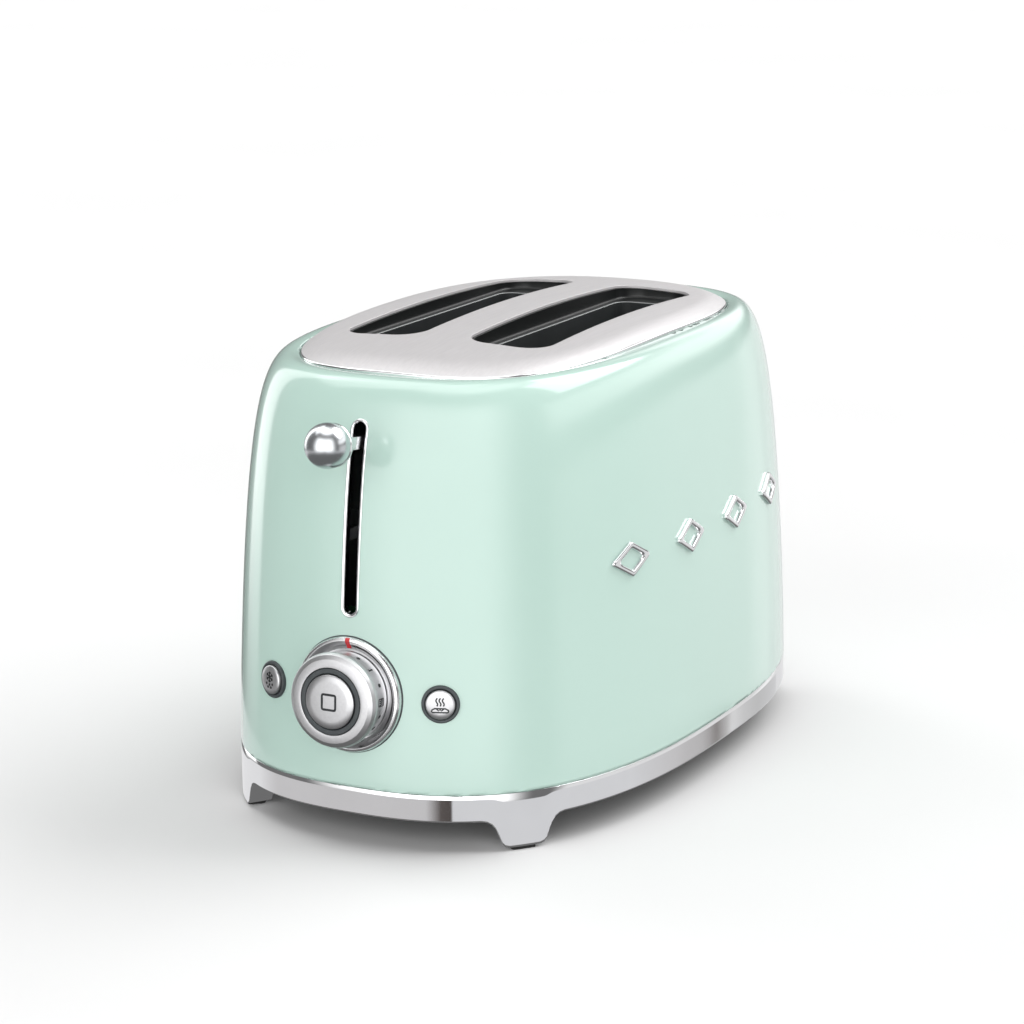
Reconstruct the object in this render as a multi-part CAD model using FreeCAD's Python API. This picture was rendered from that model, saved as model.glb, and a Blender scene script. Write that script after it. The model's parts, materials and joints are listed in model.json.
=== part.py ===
import FreeCAD, Part
import math
import os
from FreeCAD import Vector

# Retro two-slice pop-up toaster. Millimetres, +X right, +Y back, +Z up, floor at z = 0.
# Shapes are drawn about the middle of the body and shifted by ORIGIN_Y when they are
# written, so that the origin is the middle of the whole object's footprint.

# ---------------------------------------------------------------- body outline
HALF_WIDTH = 97.5
HALF_LENGTH = 155.9
PLAN_POWER = 2.606          # superellipse exponent of the plan at the base
BAND_BOTTOM = 13.2
BAND_TOP = 24.55
SHELL_TOP = 190.3
TOP_HALF_WIDTH = 70.1       # where the shoulder curve would end
TOP_HALF_LENGTH = 117.5
TOP_POWER = 2.72
SHOULDER_P = 1.315
SHOULDER_X = 0.259
SHELL_WALL = 1.2
SECTION_POINTS = 40
SECTIONS = 18               # sections of the shell, evenly spaced along its profile

# ---------------------------------------------------------------- top plate and slots
PLATE_HALF_WIDTH = 70.15
PLATE_HALF_LENGTH = 119.05
PLATE_POWER = 3.02
PLATE_LIP = 1.3             # height of the plate's edge over the shell
PLATE_DOME = 3.7            # rise of the crown without its rolled border
PLATE_ROLL = 3.4            # how far the border rolls down
PLATE_ROLL_START = 0.88     # part of the outline's size where the border begins
PLATE_END_DROP = 2.33       # how far both ends of the rim dip
PLATE_SHEET = 1.2
CROWN_MARGIN = 1.5          # how far the drawn surface runs past the plate's outline
CROWN_COLUMNS = 20          # spans of the drawn surface, each way from the middle
CROWN_ROWS = 30
PLATE_SKIRT_BOTTOM = 184.0
RIM_GAP = 0.3
RIM_BLEND = 0.5             # part of the shoulder over which the rim shape fades in
RIM_CLEARANCE = 0.15        # room between the shell and the plate's skirt
SLOT_X = 29.4
SLOT_Y = 2.3
SLOT_HALF_WIDTH = 18.6
SLOT_HALF_LENGTH = 78.2
SLOT_CORNER = 12.0
LINER_WALL = 0.9
LINER_TOP = 192.6
LINER_LEDGE = 189.5
LINER_BOTTOM = 171.0
THROAT_HALF_WIDTH = 13.6
THROAT_HALF_LENGTH = 64.0

# ---------------------------------------------------------------- base and feet
BAND_WALL = 2.0
FOOT_X = 67.0
FOOT_Y = 129.9
FOOT_YAW = 49.5             # direction a foot faces, degrees from the Y axis
FOOT_FLARE = [(18.5, 13.2), (13.8, 11.6), (11.6, 8.2)]      # half width and height, a hollow curve
FOOT_TOE = [(9.9, 3.6), (8.9, 1.8), (6.7, 1.25)]            # rounded lower corner
FOOT_DEPTH = 9.5
PAD_HEIGHT = 1.2
PAD_HALF_WIDTH = 5.2
BASE_BOTTOM = 14.2
BASE_TOP = 17.2
TRAY_HALF_WIDTH = 50.0
TRAY_FLOOR = 17.6
TRAY_TOP = 21.6
TRAY_FRONT = -88.0
TRAY_REAR = 140.0
TRAY_SHEET = 0.8
HANDLE_REAR = 161.0
GLAND_X = -43.0
GLAND_Z = 7.3
GLAND_BORE = 3.75
GLAND_REAR = 118.0
GLAND_BORE_LENGTH = 14.0

# ---------------------------------------------------------------- lever
SLOT_TRIM_TOP = 174.3
SLOT_TRIM_BOTTOM = 94.9
SLOT_TRIM_HALF = 4.1
LEVER_SLOT_HALF = 2.7
TRIM_BORDER = 1.4
BALL_Y = -166.7
BALL_Z = 168.5
BALL_RADIUS = 9.2
STEM_TILT = 8.2             # degrees the stem rises towards the ball
TRAVEL = 65.0               # carriage stroke

# ---------------------------------------------------------------- dial and buttons
DIAL_Z = 63.3
DIAL_TILT = 3.5
BEZEL_RADIUS = 23.85
BEZEL_GAP = 0.2
SLEEVE_RADIUS = 17.9
FRONT_RING_RADIUS = 19.6
DIAL_FRONT = 14.8           # front face of the dial, from the shell
STOP_FRONT = 16.0
STOP_RADIUS = 11.2
STOP_RING_OUTER = 13.4
STOP_RING_INNER = 11.5
HUB_RADIUS = 5.0
HUB_BORE = 3.1
HUB_END = -18.0
GEAR_TEETH = 20
GEAR_MODULE = 1.0
GEAR_BACKLASH = 0.3
GEAR_FRONT = -13.0
GEAR_WIDTH = 4.0
BUTTON_X = 39.5
BUTTON_Z = 62.9
BUTTON_RING_RADIUS = 7.8
BUTTON_CAP_RADIUS = 6.1
BUTTON_TRAVEL = 1.5

# ---------------------------------------------------------------- inner frame
FRONT_PLATE_Y = -84.0
REAR_PLATE_Y = 88.0
CHASSIS_SHEET = 1.0
CHASSIS_HALF_WIDTH = 72.0
CHASSIS_BOTTOM = 24.5
CHASSIS_TOP = 168.0
LEG_INNER = 66.0
BRACKET_TOP = 177.0
REFLECTOR_X = 63.0
HEATER_BOTTOM = 44.0
HEATER_TOP = 165.0
HEATER_X = 57.0
MICA_SHEET = 0.8
WINDING_TURNS = 11
GUIDE_OFFSET = 14.6         # guide grid from the middle of its slot
GUIDE_HINGE_Z = 47.0
GUIDE_TOP = 163.0
GUIDE_WIRES = 10
WIRE_RADIUS = 0.8
PIVOT_RADIUS = 1.2
RUNNING_GAP = 0.06
RACK_Z = 116.0
RACK_HALF_WIDTH = 6.0
RACK_SHEET = 1.2
RACK_TEETH = 7
RACK_ARM_HALF = 2.5
SLIDER_Y = -96.0
ROD_Y = -106.0
ROD_RADIUS = 3.0
TWIST_ROD_X = -34.0
TWIST_ROD_RADIUS = 2.0
SPRING_X = 30.0
SPRING_Y = -103.0
SPRING_TOP = 175.2
SPRING_BOTTOM = 124.0
SPRING_RADIUS = 4.0
SPRING_WIRE = 0.6
SPRING_TURNS = 14
MAGNET_X = 24.0
MAGNET_TOP = 38.6
BOARD_Y = -129.0
BOARD_SHEET = 1.6

# ---------------------------------------------------------------- badge
BADGE_Z = 111.0
BADGE_FIRST_Y = -75.0
BADGE_PITCH = 46.7
BADGE_COUNT = 4
BADGE_HALF_LENGTH = 13.0
BADGE_HALF_HEIGHT = 7.5
BADGE_STROKE = 2.4
BADGE_HEIGHT = 1.6

FRONT_MOST = BALL_Y - BALL_RADIUS
ORIGIN_Y = -(FRONT_MOST + HANDLE_REAR) / 2
SLIVER = 0.05               # gap between parts that are fastened face to face


# ================================================================ helpers
def box(x0, x1, y0, y1, z0, z1):
    return Part.makeBox(x1 - x0, y1 - y0, z1 - z0, Vector(x0, y0, z0))


def rod(radius, start, end):
    start, end = Vector(*start), Vector(*end)
    return Part.makeCylinder(radius, (end - start).Length, start, end - start)


def fused(shapes):
    return shapes[0].multiFuse(shapes[1:]).removeSplitter() if len(shapes) > 1 else shapes[0]


def rounded_box(x0, x1, y0, y1, z0, z1, radius):
    solid = box(x0, x1, y0, y1, z0, z1)
    upright = [e for e in solid.Edges if abs(e.tangentAt(e.FirstParameter).z) > 0.9]
    return solid.makeFillet(radius, upright)


def plan_points(a, b, power, height):
    """Points of the superellipse |x/a|^power + |y/b|^power = 1; height(y) is their z."""
    points = []
    for i in range(SECTION_POINTS):
        angle = 2 * math.pi * i / SECTION_POINTS
        c, s = math.cos(angle), math.sin(angle)
        r = (abs(c) ** power + abs(s) ** power) ** (-1 / power)
        points.append(Vector(a * r * c, b * r * s, height(b * r * s)))
    return points


def closed_wire(points):
    curve = Part.BSplineCurve()
    curve.interpolate(Points=points, PeriodicFlag=True)
    return Part.Wire(curve.toShape())


def plan_prism(a, b, power, z0, z1):
    wire = closed_wire(plan_points(a, b, power, lambda y: z0))
    return Part.Face(wire).extrude(Vector(0, 0, z1 - z0))


def level_plan(s):
    """Half width, half length, plan power, height and rim share at level s of the shell."""
    spread = (1 - s ** SHOULDER_P) ** SHOULDER_X
    rim = max(0.0, 1 - spread / RIM_BLEND) ** 2
    a = TOP_HALF_WIDTH + (HALF_WIDTH - TOP_HALF_WIDTH) * spread
    b = TOP_HALF_LENGTH + (HALF_LENGTH - TOP_HALF_LENGTH) * spread
    power = PLAN_POWER + (TOP_POWER - PLAN_POWER) * s ** 2
    a += rim * (PLATE_HALF_WIDTH + RIM_GAP - TOP_HALF_WIDTH)
    b += rim * (PLATE_HALF_LENGTH + RIM_GAP - TOP_HALF_LENGTH)
    power += rim * (PLATE_POWER - TOP_POWER)
    return a, b, power, BAND_TOP + s * (SHELL_TOP - BAND_TOP), rim


def even_levels(count):
    """Levels from 0 to 1 that divide the shell's profile into equal lengths."""
    fine = [1 - (1 - i / 4000) ** 3 for i in range(4001)]
    lengths = [0.0]
    for low, high in zip(fine, fine[1:]):
        here, there = level_plan(low), level_plan(high)
        lengths.append(lengths[-1] + math.hypot(there[0] - here[0], there[3] - here[3]))
    levels, j = [], 0
    for i in range(count):
        target = lengths[-1] * i / (count - 1)
        while j < len(fine) - 1 and lengths[j] < target:
            j += 1
        levels.append(fine[j])
    return levels


def skin_section(s, depth):
    """Closed section of the shell at level s, depth inside its outer face."""
    a, b, power, z, rim = level_plan(s)
    step = 1e-4
    low, high = level_plan(max(0.0, s - step)), level_plan(min(1.0, s + step))
    lean = math.atan2(low[0] - high[0], high[3] - low[3])
    a -= depth * math.cos(lean)
    b -= depth * math.cos(lean)
    z -= depth * math.sin(lean)
    return closed_wire(plan_points(a, b, power, lambda y: z - rim * PLATE_END_DROP * (y / b) ** 2))


def front_y(x, z):
    """Y of the shell's front face at x, z."""
    a, b, power = level_plan((z - BAND_TOP) / (SHELL_TOP - BAND_TOP))[:3]
    return -b * (1 - abs(x / a) ** power) ** (1 / power)


def side_x(y, z):
    a, b, power = level_plan((z - BAND_TOP) / (SHELL_TOP - BAND_TOP))[:3]
    return a * (1 - abs(y / b) ** power) ** (1 / power)


def placed(shape, origin, axis):
    """Move a shape drawn along +Z, local x level, so that +Z points along axis at origin."""
    axis = Vector(axis).normalize()
    across = Vector(0, 0, 1).cross(axis).normalize()
    up = axis.cross(across)
    turn = FreeCAD.Matrix(across.x, up.x, axis.x, origin[0], across.y, up.y, axis.y, origin[1],
                          across.z, up.z, axis.z, origin[2], 0, 0, 0, 1)
    moved = shape.copy()
    moved.transformShape(turn)
    return moved


def turned(profile):
    """Solid of revolution about +Z from a closed list of (radius, height) points."""
    wire = Part.makePolygon([Vector(r, 0, h) for r, h in profile + profile[:1]])
    return Part.Face(wire).revolve(Vector(0, 0, 0), Vector(0, 0, 1), 360)


def stadium(half_width, z0, z1, y0, y1):
    """Upright stadium outline, extruded along Y."""
    middle = box(-half_width, half_width, y0, y1, z0 + half_width, z1 - half_width)
    ends = [rod(half_width, (0, y0, z), (0, y1, z)) for z in (z0 + half_width, z1 - half_width)]
    return fused([middle] + ends)


def gear(teeth, module, width, bore):
    """Spur gear along +Z with involute flanks, thinned for backlash."""
    pitch = module * teeth / 2
    base = pitch * math.cos(math.radians(20))
    half = math.pi / (2 * teeth) - GEAR_BACKLASH / (2 * pitch)

    def involute(r):
        pressure = math.acos(min(1.0, base / r))
        return math.tan(pressure) - pressure

    radii = (pitch - 1.25 * module, base, pitch, pitch + 0.45 * module, pitch + 0.85 * module)
    flank = [(r, half + involute(pitch) - involute(max(r, base))) for r in radii]
    outline = []
    for tooth in range(teeth):
        middle = 2 * math.pi * tooth / teeth
        for r, spread in flank:
            outline.append((r, middle - spread))
        for r, spread in reversed(flank):
            outline.append((r, middle + spread))
    points = [Vector(r * math.cos(t), r * math.sin(t), 0) for r, t in outline]
    blank = Part.Face(Part.makePolygon(points + points[:1])).extrude(Vector(0, 0, width))
    return blank.cut(Part.makeCylinder(bore, width))


# ================================================================ casing
def body_shell():
    levels = even_levels(SECTIONS)
    outer = [skin_section(s, 0) for s in levels]
    inner = [skin_section(s, SHELL_WALL) for s in levels]
    faces = Part.makeLoft(outer, False).Faces + Part.makeLoft(inner, False).Faces
    for level in (0, -1):
        faces.append(Part.makeRuledSurface(outer[level].Edges[0], inner[level].Edges[0]))
    skin = Part.makeShell(faces)
    skin.sewShape()
    solid = Part.makeSolid(Part.Shell(skin.Faces))
    if solid.Volume < 0:
        solid.reverse()
    lever_hole = stadium(LEVER_SLOT_HALF + 0.6, SLOT_TRIM_BOTTOM + TRIM_BORDER - 0.6,
                         SLOT_TRIM_TOP - TRIM_BORDER + 0.6, -175, -125)
    dial_hole = placed(Part.makeCylinder(BEZEL_RADIUS + BEZEL_GAP, 30, Vector(0, 0, -15)),
                       DIAL_ORIGIN, DIAL_AXIS)
    plate_room = plan_prism(PLATE_HALF_WIDTH + RIM_CLEARANCE, PLATE_HALF_LENGTH + RIM_CLEARANCE,
                            PLATE_POWER, PLATE_SKIRT_BOTTOM - 1, SHELL_TOP + 10)
    solid = solid.cut(lever_hole).cut(dial_hole).cut(plate_room)
    for side in (-1, 1):
        hole = Part.makeCylinder(BUTTON_RING_RADIUS + 0.1, 20, Vector(0, 0, -10))
        solid = solid.cut(placed(hole, button_origin(side), button_axis(side)))
    return solid


def crown_z(x, y):
    """Height of the plate's surface: a shallow dome whose border rolls down."""
    u, v = abs(x / PLATE_HALF_WIDTH), abs(y / PLATE_HALF_LENGTH)
    size = (u ** PLATE_POWER + v ** PLATE_POWER) ** (1 / PLATE_POWER)
    t = max(0.0, (size - PLATE_ROLL_START) / (1 - PLATE_ROLL_START))
    roll = t ** 2 if t < 1 else 2 * t - 1
    return PLATE_CROWN - PLATE_DOME * (u ** 2 + v ** 2) - PLATE_END_DROP * v ** 2 - PLATE_ROLL * roll


def dome_sheet(drop, thickness):
    """Slab under the crowned plate surface, starting drop below it."""
    x, y = PLATE_HALF_WIDTH + CROWN_MARGIN, PLATE_HALF_LENGTH + CROWN_MARGIN
    rows = []
    for i in range(2 * CROWN_COLUMNS + 1):
        px = x * (i / CROWN_COLUMNS - 1)
        steps = [y * (j / CROWN_ROWS - 1) for j in range(2 * CROWN_ROWS + 1)]
        rows.append([Vector(px, py, crown_z(px, py) - drop) for py in steps])
    surface = Part.BSplineSurface()
    surface.interpolate(rows)
    return surface.toShape().extrude(Vector(0, 0, -thickness))


def slot_prism(side, half_width, half_length, z0, z1, corner):
    return rounded_box(side * SLOT_X - half_width, side * SLOT_X + half_width,
                       SLOT_Y - half_length, SLOT_Y + half_length, z0, z1, corner)


def top_plate():
    outline = plan_prism(PLATE_HALF_WIDTH, PLATE_HALF_LENGTH, PLATE_POWER, PLATE_SKIRT_BOTTOM, 205)
    inside = plan_prism(PLATE_HALF_WIDTH - PLATE_SHEET, PLATE_HALF_LENGTH - PLATE_SHEET,
                        PLATE_POWER, PLATE_SKIRT_BOTTOM - 1, 206)
    crown = dome_sheet(0, PLATE_SHEET).common(outline)
    skirt = outline.cut(inside).common(dome_sheet(0, 40))
    solid = crown.fuse(skirt)
    for side in (-1, 1):
        solid = solid.cut(slot_prism(side, SLOT_HALF_WIDTH, SLOT_HALF_LENGTH, 180, 210, SLOT_CORNER))
    return solid.removeSplitter()


def slot_liner(side):
    """Black throat of one slot: an upper well, an inward ledge and a narrower lower collar."""
    well_x, well_y = SLOT_HALF_WIDTH - 0.15, SLOT_HALF_LENGTH - 0.15
    corner = SLOT_CORNER - 0.15
    well = slot_prism(side, well_x, well_y, LINER_LEDGE, LINER_TOP, corner)
    well_inside = slot_prism(side, well_x - LINER_WALL, well_y - LINER_WALL,
                             LINER_LEDGE + LINER_WALL, LINER_TOP + 1, corner - LINER_WALL)
    collar = slot_prism(side, THROAT_HALF_WIDTH + LINER_WALL, THROAT_HALF_LENGTH + LINER_WALL,
                        LINER_BOTTOM, LINER_LEDGE + 0.2, 6 + LINER_WALL)
    throat = slot_prism(side, THROAT_HALF_WIDTH, THROAT_HALF_LENGTH, LINER_BOTTOM - 1,
                        LINER_TOP + 1, 6)
    return well.cut(well_inside).fuse(collar).cut(throat).removeSplitter()


def lever_slot_trim():
    """Chrome frame round the lever slot: a border on the shell and a sleeve through it."""
    def skin_strip(out, inward, half_width, z0, z1):
        count = 10
        heights = [z0 + (z1 - z0) * i / count for i in range(count + 1)]
        edges = []
        for offset in (out, inward):
            curve = Part.BSplineCurve()
            curve.interpolate([Vector(-half_width, front_y(0, z) - offset, z) for z in heights])
            edges.append(curve.toShape())
        return Part.makeRuledSurface(edges[0], edges[1]).extrude(Vector(2 * half_width, 0, 0))

    z0, z1 = SLOT_TRIM_BOTTOM, SLOT_TRIM_TOP
    border = skin_strip(0.9, SLIVER, SLOT_TRIM_HALF + 1, z0 - 2, z1 + 2)
    border = border.common(stadium(SLOT_TRIM_HALF, z0, z1, -170, -125))
    sleeve = skin_strip(0.5, -2.4, SLOT_TRIM_HALF + 1, z0 - 2, z1 + 2)
    sleeve_edge = TRIM_BORDER - 0.45
    sleeve = sleeve.common(stadium(LEVER_SLOT_HALF + 0.45, z0 + sleeve_edge, z1 - sleeve_edge,
                                   -170, -125))
    opening = stadium(LEVER_SLOT_HALF, z0 + TRIM_BORDER, z1 - TRIM_BORDER, -171, -124)
    return border.fuse(sleeve).cut(opening).removeSplitter()


def side_badge():
    """Row of plain raised lozenge frames on the right side."""
    x, y, t = BADGE_HALF_LENGTH, BADGE_HALF_HEIGHT, BADGE_STROKE

    def lozenge(hx, hy):
        corners = [Vector(hx, 0, SLIVER), Vector(0, hy, SLIVER), Vector(-hx, 0, SLIVER),
                   Vector(0, -hy, SLIVER)]
        return Part.Face(Part.makePolygon(corners + corners[:1])).extrude(Vector(0, 0, BADGE_HEIGHT))

    slant = math.hypot(x, y)
    frame = lozenge(x, y).cut(lozenge(x - t * slant / y, y - t * slant / x))
    badges = []
    for i in range(BADGE_COUNT):
        middle = BADGE_FIRST_Y + BADGE_PITCH * i
        badges.append(placed(frame, *skin_point_side(middle, BADGE_Z)))
    return Part.makeCompound(badges)


def skin_point_side(y, z):
    """Point and outward normal of the right side at y, z."""
    here = side_x(y, z)
    slope_y = (side_x(y + 1, z) - side_x(y - 1, z)) / 2
    slope_z = (side_x(y, z + 1) - side_x(y, z - 1)) / 2
    return (here, y, z), (1, -slope_y, -slope_z)


# ================================================================ base
def foot_block():
    """Flared foot, drawn with its outer side towards +Y and its top inside the band."""
    overlap = Vector(0, 0, 1.5)
    left, right = [[Vector(side * x, 0, z) for x, z in FOOT_FLARE + FOOT_TOE] for side in (-1, 1)]
    edges = [Part.makeLine(left[-1], right[-1]), Part.makeLine(right[0], right[0] + overlap),
             Part.makeLine(right[0] + overlap, left[0] + overlap),
             Part.makeLine(left[0] + overlap, left[0])]
    for flank in (left, right):
        edges.append(Part.Arc(*flank[:3]).toShape())
        edges.append(Part.makeLine(flank[2], flank[3]))
        edges.append(Part.Arc(*flank[3:]).toShape())
    face = Part.Face(Part.Wire(Part.__sortEdges__(edges)))
    face.translate(Vector(0, -FOOT_DEPTH, 0))
    return face.extrude(Vector(0, FOOT_DEPTH + 14, 0))


def corner_placed(shape, side, end):
    """Turn a shape drawn towards +Y to face one corner of the plan and move it there."""
    moved = shape.copy()
    yaw = -side * FOOT_YAW if end > 0 else 180 + side * FOOT_YAW
    moved.rotate(Vector(0, 0, 0), Vector(0, 0, 1), yaw)
    moved.translate(Vector(side * FOOT_X, end * FOOT_Y, 0))
    return moved


def base_band():
    """Polished band with its four flared feet and the tray's opening at the back."""
    outer = plan_prism(HALF_WIDTH, HALF_LENGTH, PLAN_POWER, 0, BAND_TOP)
    ring = plan_prism(HALF_WIDTH, HALF_LENGTH, PLAN_POWER, BAND_BOTTOM, BAND_TOP - SLIVER)
    ring = ring.cut(plan_prism(HALF_WIDTH - BAND_WALL, HALF_LENGTH - BAND_WALL, PLAN_POWER,
                               BAND_BOTTOM - 1, BAND_TOP + 1))
    feet = [corner_placed(foot_block(), side, end).common(outer) for side, end in CORNERS]
    for foot in feet:
        ring = ring.fuse(foot.cut(box(-200, 200, -200, 200, BASE_BOTTOM - SLIVER, 30)))
    mouth = box(-TRAY_HALF_WIDTH - 1.2, TRAY_HALF_WIDTH + 1.2, 130, 170, TRAY_FLOOR - 0.5, 23.0)
    return ring.cut(mouth).removeSplitter()


def foot_pad(side, end):
    """Rubber pad under one foot."""
    pad = rounded_box(-PAD_HALF_WIDTH, PAD_HALF_WIDTH, -FOOT_DEPTH + 1, 0, 0, PAD_HEIGHT, 2.5)
    pad = corner_placed(pad, side, end)
    return pad.common(plan_prism(HALF_WIDTH - 0.8, HALF_LENGTH - 0.8, PLAN_POWER, -1, 5))


def base_plate():
    plate = plan_prism(HALF_WIDTH - BAND_WALL - SLIVER, HALF_LENGTH - BAND_WALL - SLIVER,
                       PLAN_POWER, BASE_BOTTOM, BASE_TOP)
    for side in (-1, 1):
        rail = sorted((side * (TRAY_HALF_WIDTH + 1.2), side * (TRAY_HALF_WIDTH + 2.8)))
        plate = plate.fuse(box(rail[0], rail[1], TRAY_FRONT - 2, TRAY_REAR - 3, BASE_TOP - 0.5, TRAY_TOP + 1.2))
    stop = box(-TRAY_HALF_WIDTH - 2.8, TRAY_HALF_WIDTH + 2.8, TRAY_FRONT - 2, TRAY_FRONT - 0.6,
               BASE_TOP - 0.5, TRAY_TOP + 1.2)
    plate = plate.fuse(stop)
    vents = []
    for side in (-1, 1):
        for i in range(9):
            y = -60 + 16 * i
            vents.append(box(*sorted((side * 57, side * 84)), y, y + 5, BASE_BOTTOM - 1, BASE_TOP + 1))
    cable_hole = box(-61, -55.5, 92, 102, BASE_BOTTOM - 1, BASE_TOP + 1)
    screw_holes = [rod(1.9, (x, y, 10), (x, y, 20)) for x, y in SCREW_PLACES]
    rods = [rod(ROD_RADIUS + SLIVER, (0, ROD_Y, BASE_BOTTOM + 1), (0, ROD_Y, 20)),
            rod(TWIST_ROD_RADIUS + SLIVER, (TWIST_ROD_X, ROD_Y, BASE_BOTTOM + 1),
                (TWIST_ROD_X, ROD_Y, 20))]
    return plate.cut(vents + [cable_hole] + screw_holes + rods).removeSplitter()


def base_screws():
    """Screws from below, through the base plate into the legs of the inner frame."""
    screws = []
    for x, y in SCREW_PLACES:
        head = rod(3.4, (x, y, BASE_BOTTOM - 2.2), (x, y, BASE_BOTTOM - SLIVER))
        slot = box(x - 2.6, x + 2.6, y - 0.5, y + 0.5, BASE_BOTTOM - 2.3, BASE_BOTTOM - 1.2)
        cross = box(x - 0.5, x + 0.5, y - 2.6, y + 2.6, BASE_BOTTOM - 2.3, BASE_BOTTOM - 1.2)
        shank = rod(1.6, (x, y, BASE_BOTTOM - 1), (x, y, 22.5))
        screws.append(head.fuse(shank).cut(slot).cut(cross))
    return Part.makeCompound(screws)


def cord_gland():
    """Cable entry under the base: a short bore facing back and a chamber that leads up."""
    top = BASE_BOTTOM - SLIVER
    front = GLAND_REAR - GLAND_BORE_LENGTH
    start, end = (GLAND_X, front - 1, GLAND_Z), (GLAND_X, GLAND_REAR, GLAND_Z)
    block = box(-63, -36, 90, front, 1.4, top)
    nozzle = box(GLAND_X - 6, GLAND_X + 6, front - 1, GLAND_REAR, GLAND_Z, top)
    bore = rod(GLAND_BORE, start, (GLAND_X, GLAND_REAR + 1, GLAND_Z))
    chamber = box(-61.5, -38, 92, front, 3.2, top + 1)
    return fused([block, nozzle, rod(6, start, end)]).cut(bore).cut(chamber)


def crumb_tray():
    """Shallow pan that slides out at the back."""
    x = TRAY_HALF_WIDTH
    pan = box(-x, x, TRAY_FRONT, TRAY_REAR, TRAY_FLOOR, TRAY_TOP)
    hollow = box(-x + TRAY_SHEET, x - TRAY_SHEET, TRAY_FRONT + TRAY_SHEET,
                 TRAY_REAR - TRAY_SHEET, TRAY_FLOOR + TRAY_SHEET, TRAY_TOP + 1)
    return pan.cut(hollow)


def crumb_tray_handle():
    """Front of the tray: follows the band's curve and has a lip to pull."""
    x = TRAY_HALF_WIDTH + 0.6
    outer = plan_prism(HALF_WIDTH, HALF_LENGTH, PLAN_POWER, TRAY_FLOOR, 22.5)
    face = outer.common(box(-x, x, TRAY_REAR + SLIVER, 170, TRAY_FLOOR, 22.5))
    lip = rounded_box(-22, 22, HALF_LENGTH - 3, HANDLE_REAR, TRAY_FLOOR, TRAY_FLOOR + 2.2, 2.4)
    return face.fuse(lip).removeSplitter()


# ================================================================ lever and carriage
def stem_point(distance):
    """Point on the stem's axis, measured inwards from the ball's centre."""
    tilt = math.radians(STEM_TILT)
    return (0, BALL_Y + distance * math.cos(tilt), BALL_Z - distance * math.sin(tilt))


def lever_ball():
    ball = Part.makeSphere(BALL_RADIUS, Vector(*stem_point(0)))
    return ball.cut(rod(2.6, stem_point(1), stem_point(BALL_RADIUS + 1)))


def lever_collar():
    """Satin cup behind the ball."""
    outer = Part.makeCone(8.7, 4.6, 6.0)
    cup = Part.makeSphere(BALL_RADIUS + SLIVER, Vector(0, 0, -4.0))
    bore = Part.makeCylinder(2.6, 10, Vector(0, 0, -1))
    return placed(outer.cut(cup).cut(bore), stem_point(4.0), STEM_INWARD)


def lever_arm():
    """Flat stem through the slot and the upright bracket down to the slider."""
    neck = rod(2.5, stem_point(1.1), stem_point(14))
    bar = box(-1.7, 1.7, -2.5, 2.5, 12, 50)
    bar = placed(bar, stem_point(0), STEM_INWARD)
    bracket = box(-1.7, 1.7, -124, -116, 108, stem_point(46)[2] + 2)
    foot = box(-1.7, 1.7, -124, ROD_Y - 6 - SLIVER, 108, 122)
    return fused([neck, bar, bracket, foot])


def carriage_slider():
    """Moving plate with the bush for the guide rod and lugs for the second rod and spring."""
    plate = box(-40, 40, SLIDER_Y, SLIDER_Y + 1.5, 108, 124)
    bush = box(-7, 7, ROD_Y - 6, SLIDER_Y + 1, 106, 126)
    twist_lug = box(TWIST_ROD_X - 5, TWIST_ROD_X + 5, ROD_Y - 4.5, SLIDER_Y + 1, 112, 117)
    spring_lug = box(SPRING_X - 5, SPRING_X + 5, SPRING_Y - 5, SLIDER_Y + 1, 120, 122.5)
    windows = [box(x - 5, x + 5, SLIDER_Y - 1, SLIDER_Y + 3, 111, 114.5) for x in (-20, 16)]
    bores = [rod(ROD_RADIUS + RUNNING_GAP, (0, ROD_Y, 100), (0, ROD_Y, 130)),
             rod(TWIST_ROD_RADIUS + RUNNING_GAP, (TWIST_ROD_X, ROD_Y, 100), (TWIST_ROD_X, ROD_Y, 130))]
    return fused([plate, bush, twist_lug, spring_lug]).cut(bores + windows)


def bread_rack(side):
    """Strip that carries the slice, with upright teeth and a narrow tongue at each end."""
    x = side * SLOT_X
    front, rear = FRONT_PLATE_Y + 5, REAR_PLATE_Y - 5
    parts = [box(x - RACK_HALF_WIDTH, x + RACK_HALF_WIDTH, front, rear, RACK_Z, RACK_Z + RACK_SHEET),
             box(x - RACK_ARM_HALF, x + RACK_ARM_HALF, SLIDER_Y + 1.5 + SLIVER, REAR_PLATE_Y + 5,
                 RACK_Z, RACK_Z + RACK_SHEET)]
    for i in range(RACK_TEETH):
        y = front + (rear - front) * (i + 0.5) / RACK_TEETH
        parts.append(box(x - RACK_HALF_WIDTH, x + RACK_HALF_WIDTH, y - 0.6, y + 0.6, RACK_Z,
                         RACK_Z + 5.0))
    return fused(parts)


def return_spring():
    pitch = (SPRING_TOP - SPRING_BOTTOM - 2 * SPRING_WIRE) / SPRING_TURNS
    height = pitch * SPRING_TURNS
    helix = Part.makeHelix(pitch, height, SPRING_RADIUS)
    circle = Part.Wire(Part.makeCircle(SPRING_WIRE, Vector(SPRING_RADIUS, 0, 0), Vector(0, 1, 0)))
    coil = helix.makePipeShell([circle], True, True)
    coil.translate(Vector(SPRING_X, SPRING_Y, SPRING_BOTTOM + SPRING_WIRE))
    return coil


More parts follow.
